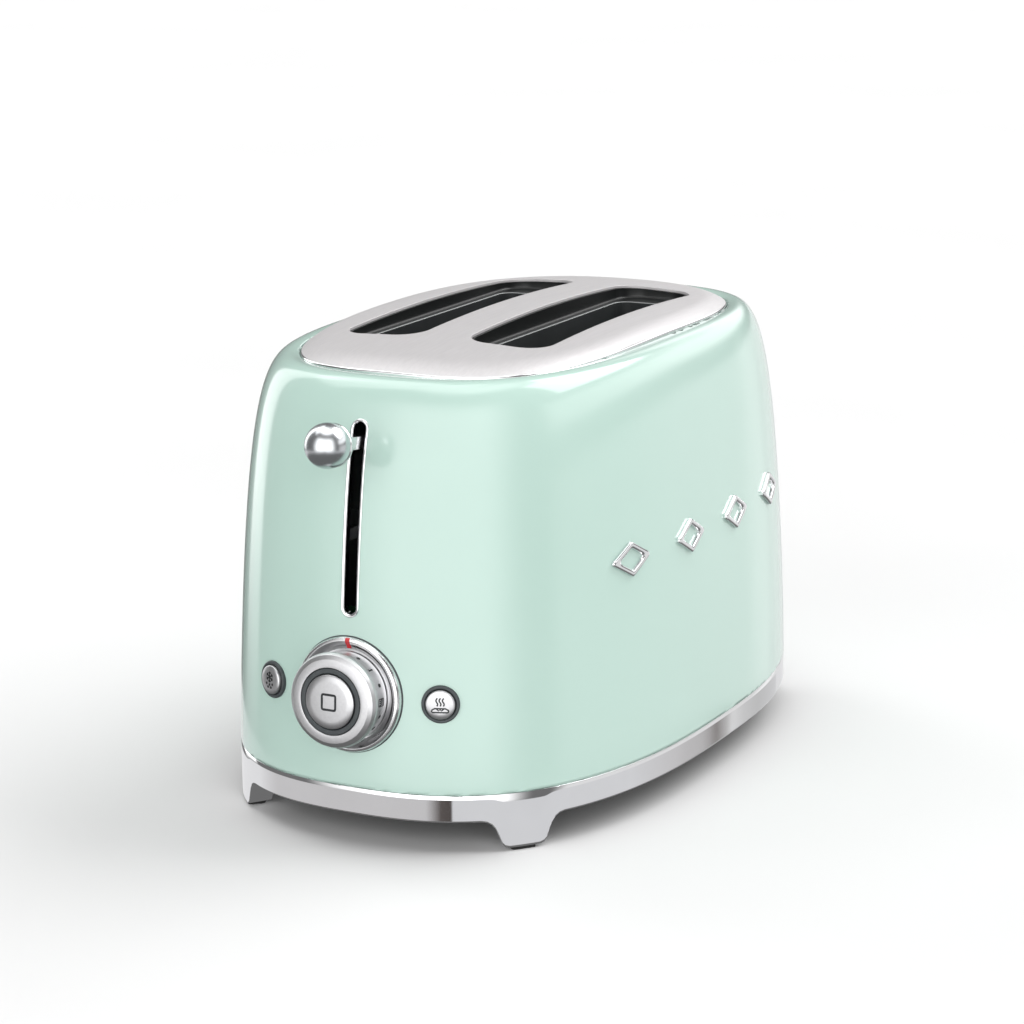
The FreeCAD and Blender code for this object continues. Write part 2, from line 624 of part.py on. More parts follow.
# ================================================================ dial and buttons
DIAL_AXIS = (0, -math.cos(math.radians(DIAL_TILT)), math.sin(math.radians(DIAL_TILT)))
DIAL_ORIGIN = (0, front_y(0, DIAL_Z), DIAL_Z)
STEM_INWARD = (0, math.cos(math.radians(STEM_TILT)), -math.sin(math.radians(STEM_TILT)))
PLATE_CROWN = SHELL_TOP + PLATE_LIP + PLATE_DOME + PLATE_ROLL
CORNERS = [(side, end) for side in (-1, 1) for end in (-1, 1)]
SCREW_PLACES = [(side * 69, y) for side in (-1, 1) for y in (FRONT_PLATE_Y + 6, REAR_PLATE_Y - 5)]


def button_origin(side):
    return side * BUTTON_X, front_y(BUTTON_X, BUTTON_Z), BUTTON_Z


def button_axis(side):
    slope_x = (front_y(BUTTON_X + 1, BUTTON_Z) - front_y(BUTTON_X - 1, BUTTON_Z)) / 2
    slope_z = (front_y(BUTTON_X, BUTTON_Z + 1) - front_y(BUTTON_X, BUTTON_Z - 1)) / 2
    return Vector(side * slope_x, -1, slope_z).normalize()


def on_dial(shape):
    return placed(shape, DIAL_ORIGIN, DIAL_AXIS)


def dial_bezel():
    """Dished ring in the shell that the dial turns in."""
    outer = BEZEL_RADIUS
    ring = turned([(outer, -3.5), (outer, 0.9), (outer - 0.5, 1.7), (outer - 1.5, 2.0),
                   (outer - 2.6, 1.6), (outer - 4.3, 0.1), (HUB_RADIUS + RUNNING_GAP, 0.1),
                   (HUB_RADIUS + RUNNING_GAP, -6.0), (HUB_RADIUS + 2.5, -6.0),
                   (HUB_RADIUS + 2.5, -1.2), (outer - 1.5, -1.2), (outer - 1.5, -3.5)])
    notch = box(-1.3, 1.3, outer - 4.0, outer + 1, 0.8, 3)
    return on_dial(ring.cut(notch))


def dial_pointer():
    """Small mark inlaid at the top of the bezel."""
    ring = turned([(BEZEL_RADIUS - 0.1, 0.85), (BEZEL_RADIUS - 0.6, 1.75), (BEZEL_RADIUS - 1.5, 2.05),
                   (BEZEL_RADIUS - 2.5, 1.75), (BEZEL_RADIUS - 3.4, 0.85)])
    return on_dial(ring.common(box(-1.2, 1.2, 10, 30, 0.85, 3)))


def browning_dial():
    """Hollow knob: sleeve, bevelled front ring, web and the hollow shaft."""
    well = STOP_RING_OUTER + 0.35
    knob = turned([(SLEEVE_RADIUS, 0.6), (SLEEVE_RADIUS, 9.6), (FRONT_RING_RADIUS, 10.4),
                   (FRONT_RING_RADIUS, 12.4), (FRONT_RING_RADIUS - 0.8, 13.9),
                   (FRONT_RING_RADIUS - 2.6, DIAL_FRONT), (well + 0.4, DIAL_FRONT),
                   (well, DIAL_FRONT - 0.4), (well, 8.0), (HUB_BORE, 8.0), (HUB_BORE, HUB_END),
                   (HUB_RADIUS, HUB_END), (HUB_RADIUS, 5.5), (SLEEVE_RADIUS - 1.5, 5.5),
                   (SLEEVE_RADIUS - 1.5, 0.6)])
    return on_dial(knob)


def dial_gear():
    wheel = gear(GEAR_TEETH, GEAR_MODULE, GEAR_WIDTH, HUB_RADIUS + SLIVER)
    wheel.translate(Vector(0, 0, GEAR_FRONT - GEAR_WIDTH))
    return on_dial(wheel)


def pot_gear():
    """Gear and spindle of the browning control, beside the dial's gear and in mesh with it."""
    wheel = gear(GEAR_TEETH, GEAR_MODULE, GEAR_WIDTH, 2.0)
    wheel = wheel.fuse(Part.makeCylinder(2.5, GEAR_WIDTH + 3.6, Vector(0, 0, -3.6)))
    wheel.rotate(Vector(0, 0, 0), Vector(0, 0, 1), 180 / GEAR_TEETH)
    wheel.translate(Vector(GEAR_TEETH * GEAR_MODULE, 0, GEAR_FRONT - GEAR_WIDTH))
    return on_dial(wheel)


def potentiometer():
    """Body of the browning control between its gear and the board."""
    back = GEAR_FRONT - GEAR_WIDTH
    case = Part.makeCylinder(8, 5.4, Vector(0, 0, back - 7.4))
    neck = Part.makeCylinder(4, 1.2, Vector(0, 0, back - 2.0))
    bore = Part.makeCylinder(2.5 + RUNNING_GAP, 4, Vector(0, 0, back - 3.8))
    solid = case.fuse(neck).cut(bore)
    solid.translate(Vector(GEAR_TEETH * GEAR_MODULE, 0, 0))
    return on_dial(solid).cut(box(-60, 60, BOARD_Y - SLIVER, -100, 30, 100))


def stop_ring():
    """Dark ring round the stop button, carried by the dial."""
    return on_dial(turned([(STOP_RING_OUTER + 0.3, 8.05), (STOP_RING_OUTER + 0.3, 14.0),
                           (STOP_RING_OUTER, DIAL_FRONT + 0.3), (STOP_RING_INNER + 0.3, DIAL_FRONT + 0.3),
                           (STOP_RING_INNER, DIAL_FRONT), (STOP_RING_INNER, 8.05)]))


def stop_button():
    """Round cap in the middle of the dial, on a plunger through the hollow shaft."""
    cap = turned([(0, STOP_FRONT + 0.1), (STOP_RADIUS * 0.6, STOP_FRONT),
                  (STOP_RADIUS - 0.7, STOP_FRONT - 0.15), (STOP_RADIUS, STOP_FRONT - 0.8),
                  (STOP_RADIUS, 10.4), (3.0, 10.4), (3.0, -22.6), (0, -22.6)])
    return on_dial(cap)


def button_ring(side):
    ring = turned([(BUTTON_RING_RADIUS, -3), (BUTTON_RING_RADIUS, 0.7), (BUTTON_RING_RADIUS - 0.5, 1.1),
                   (BUTTON_CAP_RADIUS + 0.6, 1.1), (BUTTON_CAP_RADIUS + 0.3, 0.8),
                   (BUTTON_CAP_RADIUS + 0.3, -3)])
    return placed(ring, button_origin(side), button_axis(side))


def button_cap(side):
    cap = turned([(0, 2.3), (BUTTON_CAP_RADIUS - 1.2, 2.15), (BUTTON_CAP_RADIUS - 0.3, 1.8),
                  (BUTTON_CAP_RADIUS, 1.2), (BUTTON_CAP_RADIUS, -3), (2.2, -3), (2.2, -9.0), (0, -9.0)])
    return placed(cap, button_origin(side), button_axis(side))


# ================================================================ electronics
def control_board():
    board = box(-54, 54, BOARD_Y, BOARD_Y + BOARD_SHEET, 36, 92)
    for x in (-48, 48):
        board = board.cut(rod(1.6, (x, -140, 88), (x, -120, 88)))
    return board


def board_components():
    """Chips, capacitors, a relay and a heat sink on the front of the board."""
    y = BOARD_Y - SLIVER
    parts = [box(-30, -14, y - 7, y, 40, 54), box(-50, -38, y - 4, y, 40, 50),
             box(30, 44, y - 8, y, 38, 50), box(-12, -4, y - 2, y, 40, 50)]
    for x in (4, 16):
        parts.append(rod(3.5, (x, y, 43), (x, y - 9, 43)))
    for i in range(6):
        parts.append(box(-50 + 4 * i, -48 + 4 * i, y - 1, y, 82, 84))
    return Part.makeCompound(parts)


def button_switches():
    """Tact switches that the three buttons push, on stand-offs from the board."""
    y = BOARD_Y - SLIVER
    switches = []
    centre = stem_of(DIAL_ORIGIN, DIAL_AXIS, -22.6 - BUTTON_TRAVEL - 0.3)
    switches.append(box(centre[0] - 3, centre[0] + 3, centre[1], y, centre[2] - 3, centre[2] + 3))
    for side in (-1, 1):
        tip = stem_of(button_origin(side), button_axis(side), -9.0 - BUTTON_TRAVEL - 1.2)
        switches.append(box(tip[0] - 3, tip[0] + 3, tip[1], y, tip[2] - 3, tip[2] + 3))
    return Part.makeCompound(switches)


def stem_of(origin, axis, distance):
    return [o + distance * a for o, a in zip(origin, axis)]


def magnet_core():
    """E-shaped core that holds the carriage down."""
    x, y = MAGNET_X, ROD_Y + 4
    core = box(x - 9, x + 9, y - 4, y + 4, BASE_TOP + SLIVER, MAGNET_TOP)
    for side in (-1, 1):
        core = core.cut(box(*sorted((x + side * 3, x + side * 6.5)), y - 5, y + 5, 24, MAGNET_TOP + 1))
    return core


def magnet_coil():
    x, y = MAGNET_X, ROD_Y + 4
    coil = rounded_box(x - 6.2, x + 6.2, y - 7.4, y + 7.4, 24.3, 36.5, 2)
    return coil.cut(box(x - 3.15, x + 3.15, y - 4.15, y + 4.15, 20, 40))


def armature_plate():
    """Soft iron plate on the carriage that meets the magnet at the end of the stroke."""
    x, y = MAGNET_X, ROD_Y + 4
    low = MAGNET_TOP + TRAVEL + 0.35
    plate = box(x - 9, x + 9, y - 4, y + 4, low, low + 1.5)
    rivet = rod(2, (x, y, low + 1), (x, y, 118))
    lug = box(x - 3, x + 3, y - 3, SLIDER_Y - SLIVER, 114, 118)
    return fused([plate, rivet, lug])


def terminal_block():
    block = box(-71, -57, 91, 104, BASE_TOP + SLIVER, 30)
    for y in (94.5, 100.5):
        block = block.cut(rod(1.8, (-80, y, 24), (-62, y, 24)))
        block = block.cut(rod(1.5, (-64, y, 26), (-64, y, 31)))
    return block


def contact_blades():
    """Pair of leaf contacts on the board that the carriage closes at the bottom."""
    blades = []
    for x in (-47, -39):
        foot = box(x - 2, x + 2, BOARD_Y + BOARD_SHEET + SLIVER, BOARD_Y + BOARD_SHEET + 9, 58, 58.5)
        rise = box(x - 2, x + 2, BOARD_Y + BOARD_SHEET + 8.5, BOARD_Y + BOARD_SHEET + 9, 58, 70)
        blades.append(foot.fuse(rise).removeSplitter())
    return Part.makeCompound(blades)


# ================================================================ heaters and frame
def pivot_holes(y):
    holes = []
    for side in (-1, 1):
        for face in (-1, 1):
            x = side * SLOT_X + face * GUIDE_OFFSET
            holes.append(rod(PIVOT_RADIUS + RUNNING_GAP, (x, y - 5, GUIDE_HINGE_Z),
                             (x, y + 5, GUIDE_HINGE_Z)))
    return holes


def chassis_plate(y):
    """Sheet across the body with slots for the racks, pivots for the guides and two legs."""
    sheet = box(-CHASSIS_HALF_WIDTH, CHASSIS_HALF_WIDTH, y, y + CHASSIS_SHEET, CHASSIS_BOTTOM, CHASSIS_TOP)
    parts = [sheet]
    inward = 1 if y < 0 else -1
    for side in (-1, 1):
        leg = sorted((side * LEG_INNER, side * CHASSIS_HALF_WIDTH))
        parts.append(box(*leg, y, y + CHASSIS_SHEET, BASE_TOP + SLIVER, CHASSIS_BOTTOM))
        toe = sorted((y, y + inward * 12))
        parts.append(box(*leg, *toe, BASE_TOP + SLIVER, BASE_TOP + 1.2))
    solid = fused(parts)
    cuts = pivot_holes(y)
    for side in (-1, 1):
        cuts.append(box(side * SLOT_X - RACK_ARM_HALF - 0.6, side * SLOT_X + RACK_ARM_HALF + 0.6,
                        y - 1, y + 2, RACK_Z - TRAVEL - 2, RACK_Z + 4))
    for x, screw_y in SCREW_PLACES:
        cuts.append(rod(1.65, (x, screw_y, 16), (x, screw_y, 20)))
    return solid.cut(cuts)


def front_chassis_plate():
    """Front sheet; its top is bent forward as the bracket for the rods and the spring."""
    y = FRONT_PLATE_Y
    upstand = box(-44, 44, y, y + CHASSIS_SHEET, CHASSIS_TOP - 1, BRACKET_TOP)
    shelf = box(-44, 44, ROD_Y - 8, y + CHASSIS_SHEET, BRACKET_TOP - 1.2, BRACKET_TOP)
    solid = fused([chassis_plate(y), upstand, shelf])
    cuts = [rod(ROD_RADIUS + SLIVER, (0, ROD_Y, 170), (0, ROD_Y, 180)),
            rod(TWIST_ROD_RADIUS + SLIVER, (TWIST_ROD_X, ROD_Y, 170), (TWIST_ROD_X, ROD_Y, 180))]
    return solid.cut(cuts)


def reflector(side):
    """Side sheet that throws the heat back, folded in at its top and bottom."""
    x0, x1 = sorted((side * REFLECTOR_X, side * (REFLECTOR_X + 0.8)))
    lip = sorted((side * (REFLECTOR_X - 7), side * (REFLECTOR_X + 0.8)))
    y0, y1 = FRONT_PLATE_Y + CHASSIS_SHEET + SLIVER, REAR_PLATE_Y - SLIVER
    return fused([box(x0, x1, y0, y1, 30, 167), box(*lip, y0, y1, 30, 30.8),
                  box(*lip, y0, y1, 166.2, 167)])


def heater_board(x):
    """Mica sheet with the notches that hold the winding."""
    y0, y1 = FRONT_PLATE_Y + CHASSIS_SHEET + SLIVER, REAR_PLATE_Y - SLIVER
    sheet = box(x - MICA_SHEET / 2, x + MICA_SHEET / 2, y0, y1, HEATER_BOTTOM, HEATER_TOP)
    windows = []
    for i in range(5):
        y = y0 + 12 + (y1 - y0 - 24) * i / 4
        windows.append(rod(2.0, (x - 2, y, HEATER_BOTTOM + 5), (x + 2, y, HEATER_BOTTOM + 5)))
    return sheet.cut(windows)


def heater_winding(x, faces):
    """Ribbon runs lying on the given faces of a mica sheet, joined by end turns."""
    gap = MICA_SHEET / 2 + SLIVER
    y0, y1 = FRONT_PLATE_Y + 9, REAR_PLATE_Y - 8
    runs = []
    for face in faces:
        x0, x1 = sorted((x + face * gap, x + face * (gap + 0.4)))
        heights = [HEATER_BOTTOM + 12 + 9.6 * i for i in range(WINDING_TURNS)]
        strips = [box(x0, x1, y0, y1, z, z + 2) for z in heights]
        for i, z in enumerate(heights[:-1]):
            end = y1 - 2 if i % 2 else y0
            strips.append(box(x0, x1, end, end + 2, z, heights[i + 1] + 2))
        runs.append(fused(strips))
    return Part.makeCompound(runs)


def bread_guide(side, face):
    """Wire grid beside the slice, hinged on the rod at its foot."""
    x = side * SLOT_X + face * GUIDE_OFFSET
    front, rear = FRONT_PLATE_Y + 7, REAR_PLATE_Y - 7
    pivot = rod(PIVOT_RADIUS, (x, FRONT_PLATE_Y - 2, GUIDE_HINGE_Z), (x, REAR_PLATE_Y + 3, GUIDE_HINGE_Z))
    wires = [pivot, rod(WIRE_RADIUS, (x, front, GUIDE_TOP), (x, rear, GUIDE_TOP)),
             rod(WIRE_RADIUS, (x, front, 105), (x, rear, 105))]
    for i in range(GUIDE_WIRES):
        y = front + 2 + (rear - front - 4) * i / (GUIDE_WIRES - 1)
        wires.append(rod(WIRE_RADIUS, (x, y, GUIDE_HINGE_Z), (x, y, GUIDE_TOP + 1)))
    return fused(wires)


# ================================================================ write the parts
def build():
    nodes = {
        "body_shell": body_shell(),
        "top_plate": top_plate(),
        "base_band": base_band(),
        "base_plate": base_plate(),
        "base_screws": base_screws(),
        "cord_gland": cord_gland(),
        "crumb_tray": crumb_tray(),
        "crumb_tray_handle": crumb_tray_handle(),
        "lever_slot_trim": lever_slot_trim(),
        "lever_ball": lever_ball(),
        "lever_collar": lever_collar(),
        "lever_arm": lever_arm(),
        "dial_bezel": dial_bezel(),
        "dial_pointer": dial_pointer(),
        "browning_dial": browning_dial(),
        "dial_gear": dial_gear(),
        "stop_ring": stop_ring(),
        "stop_button": stop_button(),
        "defrost_ring": button_ring(-1),
        "defrost_button": button_cap(-1),
        "reheat_ring": button_ring(1),
        "reheat_button": button_cap(1),
        "side_badge": side_badge(),
        "front_chassis_plate": front_chassis_plate(),
        "rear_chassis_plate": chassis_plate(REAR_PLATE_Y),
        "left_heater_board": heater_board(-HEATER_X),
        "centre_heater_board": heater_board(0),
        "right_heater_board": heater_board(HEATER_X),
        "left_heater_winding": heater_winding(-HEATER_X, (1,)),
        "centre_heater_winding": heater_winding(0, (-1, 1)),
        "right_heater_winding": heater_winding(HEATER_X, (-1,)),
        "carriage_slider": carriage_slider(),
        "guide_rod": rod(ROD_RADIUS, (0, ROD_Y, BASE_BOTTOM + 1.1), (0, ROD_Y, 179)),
        "anti_twist_rod": rod(TWIST_ROD_RADIUS, (TWIST_ROD_X, ROD_Y, BASE_BOTTOM + 1.1),
                              (TWIST_ROD_X, ROD_Y, 179)),
        "return_spring": return_spring(),
        "armature_plate": armature_plate(),
        "magnet_core": magnet_core(),
        "magnet_coil": magnet_coil(),
        "control_board": control_board(),
        "board_components": board_components(),
        "button_switches": button_switches(),
        "contact_blades": contact_blades(),
        "potentiometer": potentiometer(),
        "pot_gear": pot_gear(),
        "terminal_block": terminal_block(),
    }
    for side, word in ((-1, "left"), (1, "right")):
        nodes[word + "_slot_liner"] = slot_liner(side)
        nodes[word + "_reflector"] = reflector(side)
        nodes[word + "_bread_rack"] = bread_rack(side)
        nodes[word + "_outer_bread_guide"] = bread_guide(side, side)
        nodes[word + "_inner_bread_guide"] = bread_guide(side, -side)
        for end, place in ((-1, "front"), (1, "rear")):
            nodes[place + "_" + word + "_foot_pad"] = foot_pad(side, end)
    return nodes


os.makedirs("parts", exist_ok=True)
for name, shape in build().items():
    shape.translate(Vector(0, ORIGIN_Y, 0))
    shape.exportStep("parts/" + name + ".step")
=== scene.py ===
import bisect
import json
import math

import bmesh
import bpy
from mathutils import Matrix, Vector
from mathutils.geometry import delaunay_2d_cdt

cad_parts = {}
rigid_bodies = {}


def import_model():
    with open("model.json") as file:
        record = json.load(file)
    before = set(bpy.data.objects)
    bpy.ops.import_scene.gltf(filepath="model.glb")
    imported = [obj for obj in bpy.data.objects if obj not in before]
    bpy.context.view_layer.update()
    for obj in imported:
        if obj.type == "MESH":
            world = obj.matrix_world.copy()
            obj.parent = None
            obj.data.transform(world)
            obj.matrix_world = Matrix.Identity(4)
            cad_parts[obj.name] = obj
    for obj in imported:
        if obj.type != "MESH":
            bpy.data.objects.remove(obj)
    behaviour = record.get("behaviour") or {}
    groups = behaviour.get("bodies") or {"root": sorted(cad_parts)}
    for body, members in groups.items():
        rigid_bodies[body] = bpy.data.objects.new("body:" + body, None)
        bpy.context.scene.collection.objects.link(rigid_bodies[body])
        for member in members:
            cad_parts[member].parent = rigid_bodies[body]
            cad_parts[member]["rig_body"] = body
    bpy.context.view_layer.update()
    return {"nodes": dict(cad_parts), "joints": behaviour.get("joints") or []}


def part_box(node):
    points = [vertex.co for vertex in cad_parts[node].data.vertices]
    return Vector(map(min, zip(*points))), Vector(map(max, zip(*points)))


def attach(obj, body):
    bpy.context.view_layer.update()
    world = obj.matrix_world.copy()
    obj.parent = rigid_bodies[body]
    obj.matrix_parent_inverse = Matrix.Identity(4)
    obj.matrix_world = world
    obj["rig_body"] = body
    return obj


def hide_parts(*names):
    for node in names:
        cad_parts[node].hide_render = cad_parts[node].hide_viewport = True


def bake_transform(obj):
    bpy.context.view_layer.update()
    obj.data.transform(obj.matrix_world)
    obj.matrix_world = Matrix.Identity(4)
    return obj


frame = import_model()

# Looks of a retro two-slice toaster. Metres, +X right, +Y back, +Z up, floor at z = 0.
MM = 0.001
nodes = frame["nodes"]
joints = {joint["name"]: joint for joint in frame["joints"]}

# ---- sizes read from the frame
band_low, band_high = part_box("base_band")
shell_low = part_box("body_shell")[0]
MID_Y = (band_low.y + band_high.y) / 2
HALF_WIDTH = (band_high.x - band_low.x) / 2
HALF_LENGTH = (band_high.y - band_low.y) / 2
BAND_TOP = shell_low.z

# ---- curves of the casing
PLAN_POWER = 2.606          # superellipse exponent of the plan at the base
BAND_BOTTOM = 13.2 * MM
BAND_WALL = 2.0 * MM
BAND_FLOOR = 14.1 * MM        # inner height of the band's bottom flange
SHELL_TOP = 190.3 * MM
TOP_HALF_WIDTH = 70.1 * MM
TOP_HALF_LENGTH = 117.5 * MM
TOP_POWER = 2.72
SHOULDER_P = 1.315
SHOULDER_X = 0.259
SHELL_WALL = 1.2 * MM
PLATE_HALF_WIDTH = 70.15 * MM
PLATE_HALF_LENGTH = 119.05 * MM
PLATE_POWER = 3.02
PLATE_CROWN = 198.7 * MM
PLATE_DOME = 3.7 * MM
PLATE_ROLL = 3.4 * MM         # how far the plate's border rolls down
PLATE_ROLL_START = 0.88
PLATE_END_DROP = 2.33 * MM
RIM_GAP = 0.3 * MM
RIM_BLEND = 0.5
SLOT_X = 29.4 * MM
SLOT_Y = 2.3 * MM + MID_Y
SLOT_HALF_WIDTH = 18.6 * MM
SLOT_HALF_LENGTH = 78.2 * MM
SLOT_CORNER = 12.0 * MM
PLATE_EDGE = 0.5 * MM          # rounding of the plate's outer edge
SLOT_EDGE = 0.25 * MM         # rounding where the plate turns into a slot
LINER_LEDGE = 189.5 * MM
AROUND = 256                # points of one section of the casing


# ---- mesh helpers
def bare_piece(name, verts, faces):
    """Mesh object that rides on nothing yet."""
    mesh = bpy.data.meshes.new(name)
    mesh.from_pydata([tuple(v) for v in verts], [], faces)
    mesh.update()
    piece = bpy.data.objects.new(name, mesh)
    bpy.context.scene.collection.objects.link(piece)
    return piece


def new_piece(name, verts, faces, material, body, smooth=True):
    """Mesh object in the row frame that rides on a body."""
    piece = bare_piece(name, verts, faces)
    piece.data.materials.append(material)
    tidy_normals(piece)
    if smooth:
        smooth_by_angle(piece)
    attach(piece, body)
    return piece


def tidy_normals(piece):
    work = bmesh.new()
    work.from_mesh(piece.data)
    bmesh.ops.remove_doubles(work, verts=work.verts, dist=1e-7)
    bmesh.ops.recalc_face_normals(work, faces=work.faces)
    work.to_mesh(piece.data)
    work.free()


def smooth_by_angle(piece, degrees=32):
    """Smooth shading with edges sharper than the angle kept crisp."""
    for face in piece.data.polygons:
        face.use_smooth = True
    piece.data.set_sharp_from_angle(angle=math.radians(degrees))


def ring_faces(ring_count, size, start=0, closed_loop=False):
    """Quads between successive closed rings of equal size."""
    faces = []
    for i in range(ring_count if closed_loop else ring_count - 1):
        low = start + i * size
        high = start + ((i + 1) % ring_count) * size
        for j in range(size):
            k = (j + 1) % size
            faces.append((low + j, low + k, high + k, high + j))
    return faces


def end_caps(ring_count, size):
    """One face over the first ring and one over the last."""
    return [tuple(range(size)), tuple(range((ring_count - 1) * size, ring_count * size))]


def loft(name, rings, material, body, closed_loop=False, caps=False):
    size = len(rings[0])
    faces = ring_faces(len(rings), size, closed_loop=closed_loop)
    if caps:
        faces += end_caps(len(rings), size)
    return new_piece(name, [p for ring in rings for p in ring], faces, material, body)


def soften(profile, radius, steps=4, closed=False):
    """Round the corners of a list of 2D points with arcs of at most the given radius."""
    nearly_straight = math.radians(172)
    result = []
    count = len(profile)
    for i, point in enumerate(profile):
        if not closed and i in (0, count - 1):
            result.append(point)
            continue
        here = Vector(point)
        to_last = Vector(profile[i - 1]) - here
        to_next = Vector(profile[(i + 1) % count]) - here
        turn = to_last.angle(to_next, math.pi)
        if turn > nearly_straight:
            result.append(point)
            continue
        reach = radius / math.tan(turn / 2)
        reach = min(reach, 0.45 * to_last.length, 0.45 * to_next.length)
        first = here + to_last.normalized() * reach
        last = here + to_next.normalized() * reach
        for k in range(steps + 1):
            t = k / steps
            result.append(tuple(first * (1 - t) ** 2 + here * (2 * t * (1 - t)) + last * t ** 2))
    return result


def axis_frame(origin, axis):
    """Matrix whose +Z is the axis and whose +Y is as upright as possible."""
    z = Vector(axis).normalized()
    x = Vector((0, 0, 1)).cross(z).normalized()
    y = z.cross(x)
    turn = Matrix((x, y, z)).transposed().to_4x4()
    return Matrix.Translation(Vector(origin)) @ turn


def polar(place, radius, angle, height=0.0):
    """Point at a radius, angle and height in the frame of an axis."""
    return place @ Vector((radius * math.cos(angle), radius * math.sin(angle), height))


def lathe(name, profile, place, material, body, segments=96):
    """Surface of revolution of (radius, height) points; radius 0 ends become fans."""
    verts, faces, rings = [], [], []
    for r, h in profile:
        count = segments if r > 1e-9 else 1
        rings.append(list(range(len(verts), len(verts) + count)))
        verts += [polar(place, r if count > 1 else 0.0, 2 * math.pi * k / segments, h)
                  for k in range(count)]
    for low, high in zip(rings, rings[1:]):
        for k in range(segments):
            n = (k + 1) % segments
            if len(low) == 1:
                faces.append((low[0], high[n], high[k]))
            elif len(high) == 1:
                faces.append((low[k], low[n], high[0]))
            else:
                faces.append((low[k], low[n], high[n], high[k]))
    return new_piece(name, verts, faces, material, body)


def settle(piece):
    """Apply every modifier of a piece."""
    graph = bpy.context.evaluated_depsgraph_get()
    baked = bpy.data.meshes.new_from_object(piece.evaluated_get(graph))
    piece.modifiers.clear()
    piece.data = baked


def cut_away(piece, cutters):
    """Subtract helper solids from a piece, keeping its smooth shading from before the cut."""
    before = piece.copy()
    before.data = piece.data.copy()
    bpy.context.scene.collection.objects.link(before)
    for cutter in cutters:
        change = piece.modifiers.new("cut", "BOOLEAN")
        change.operation = "DIFFERENCE"
        change.solver = "EXACT"
        change.object = cutter
    normals = piece.modifiers.new("normals", "DATA_TRANSFER")
    normals.object = before
    normals.use_loop_data = True
    normals.data_types_loops = {"CUSTOM_NORMAL"}
    normals.loop_mapping = "POLYINTERP_NEAREST"
    settle(piece)
    for helper in cutters + [before]:
        bpy.data.objects.remove(helper)


# ---- materials
def shader(name):
    """New material with its Principled shader and a helper that adds nodes."""
    material = bpy.data.materials.new(name)
    material.use_nodes = True
    tree = material.node_tree
    main = tree.nodes["Principled BSDF"]

    def add(kind, **values):
        node = tree.nodes.new(kind)
        for key, value in values.items():
            if key in node.inputs:
                node.inputs[key].default_value = value
            else:
                setattr(node, key, value)
        return node

    return material, tree, main, add


def noise(tree, add, scale, detail=4.0, stretch=(1, 1, 1)):
    place = add("ShaderNodeTexCoord")
    mapping = add("ShaderNodeMapping")
    mapping.inputs["Scale"].default_value = stretch
    texture = add("ShaderNodeTexNoise", Scale=scale, Detail=detail)
    tree.links.new(place.outputs["Object"], mapping.inputs["Vector"])
    tree.links.new(mapping.outputs["Vector"], texture.inputs["Vector"])
    return texture.outputs["Fac"]


def ramp(tree, add, source, low, high, start=0.35, end=0.65):
    """Colour between low and high as the source goes from start to end."""
    node = add("ShaderNodeValToRGB")
    node.color_ramp.elements[0].position = start
    node.color_ramp.elements[1].position = end
    node.color_ramp.elements[0].color = (*low, 1)
    node.color_ramp.elements[1].color = (*high, 1)
    tree.links.new(source, node.inputs["Fac"])
    return node.outputs["Color"]


def value_range(tree, add, source, low, high):
    node = add("ShaderNodeMapRange")
    node.inputs["To Min"].default_value = low
    node.inputs["To Max"].default_value = high
    tree.links.new(source, node.inputs["Value"])
    return node.outputs["Result"]


def bump(tree, add, main, source, strength, distance):
    node = add("ShaderNodeBump", Strength=strength, Distance=distance)
    tree.links.new(source, node.inputs["Height"])
    tree.links.new(node.outputs["Normal"], main.inputs["Normal"])
    return node


def varied(name, low, high, roughness, metallic=0.0, scale=60.0, stretch=(1, 1, 1), bumps=0.0,
           bump_distance=0.0002, coat=0.0):
    """General surface: colour and roughness vary a little, with fine relief."""
    material, tree, main, add = shader(name)
    pattern = noise(tree, add, scale, 5.0, stretch)
    tree.links.new(ramp(tree, add, pattern, low, high), main.inputs["Base Color"])
    fine = noise(tree, add, scale * 3.7, 3.0, stretch)
    tree.links.new(value_range(tree, add, fine, *roughness), main.inputs["Roughness"])
    main.inputs["Metallic"].default_value = metallic
    main.inputs["Coat Weight"].default_value = coat
    main.inputs["Coat Roughness"].default_value = 0.06
    if bumps:
        bump(tree, add, main, fine, bumps, bump_distance)
    return material


def enamel_material():
    """Glossy pastel enamel with a clear top coat and the faintest orange peel."""
    material, tree, main, add = shader("mint_enamel")
    drift = noise(tree, add, 7.0, 2.0)
    colour = ramp(tree, add, drift, (0.436, 0.598, 0.533), (0.459, 0.618, 0.555), 0.3, 0.7)
    tree.links.new(colour, main.inputs["Base Color"])
    peel = noise(tree, add, 420.0, 2.0)
    tree.links.new(value_range(tree, add, peel, 0.20, 0.26), main.inputs["Roughness"])
    main.inputs["Specular IOR Level"].default_value = 0.4
    main.inputs["Coat Weight"].default_value = 0.8
    main.inputs["Coat Roughness"].default_value = 0.04
    bump(tree, add, main, peel, 0.02, 0.0002)
    return material


def brushed_material(name, low, high, roughness, stretch=(1, 1, 1), scale=300.0, strength=0.05):
    """Satin metal with fine directional grain."""
    return varied(name, low, high, roughness, 1.0, scale, stretch, strength, 0.0001)


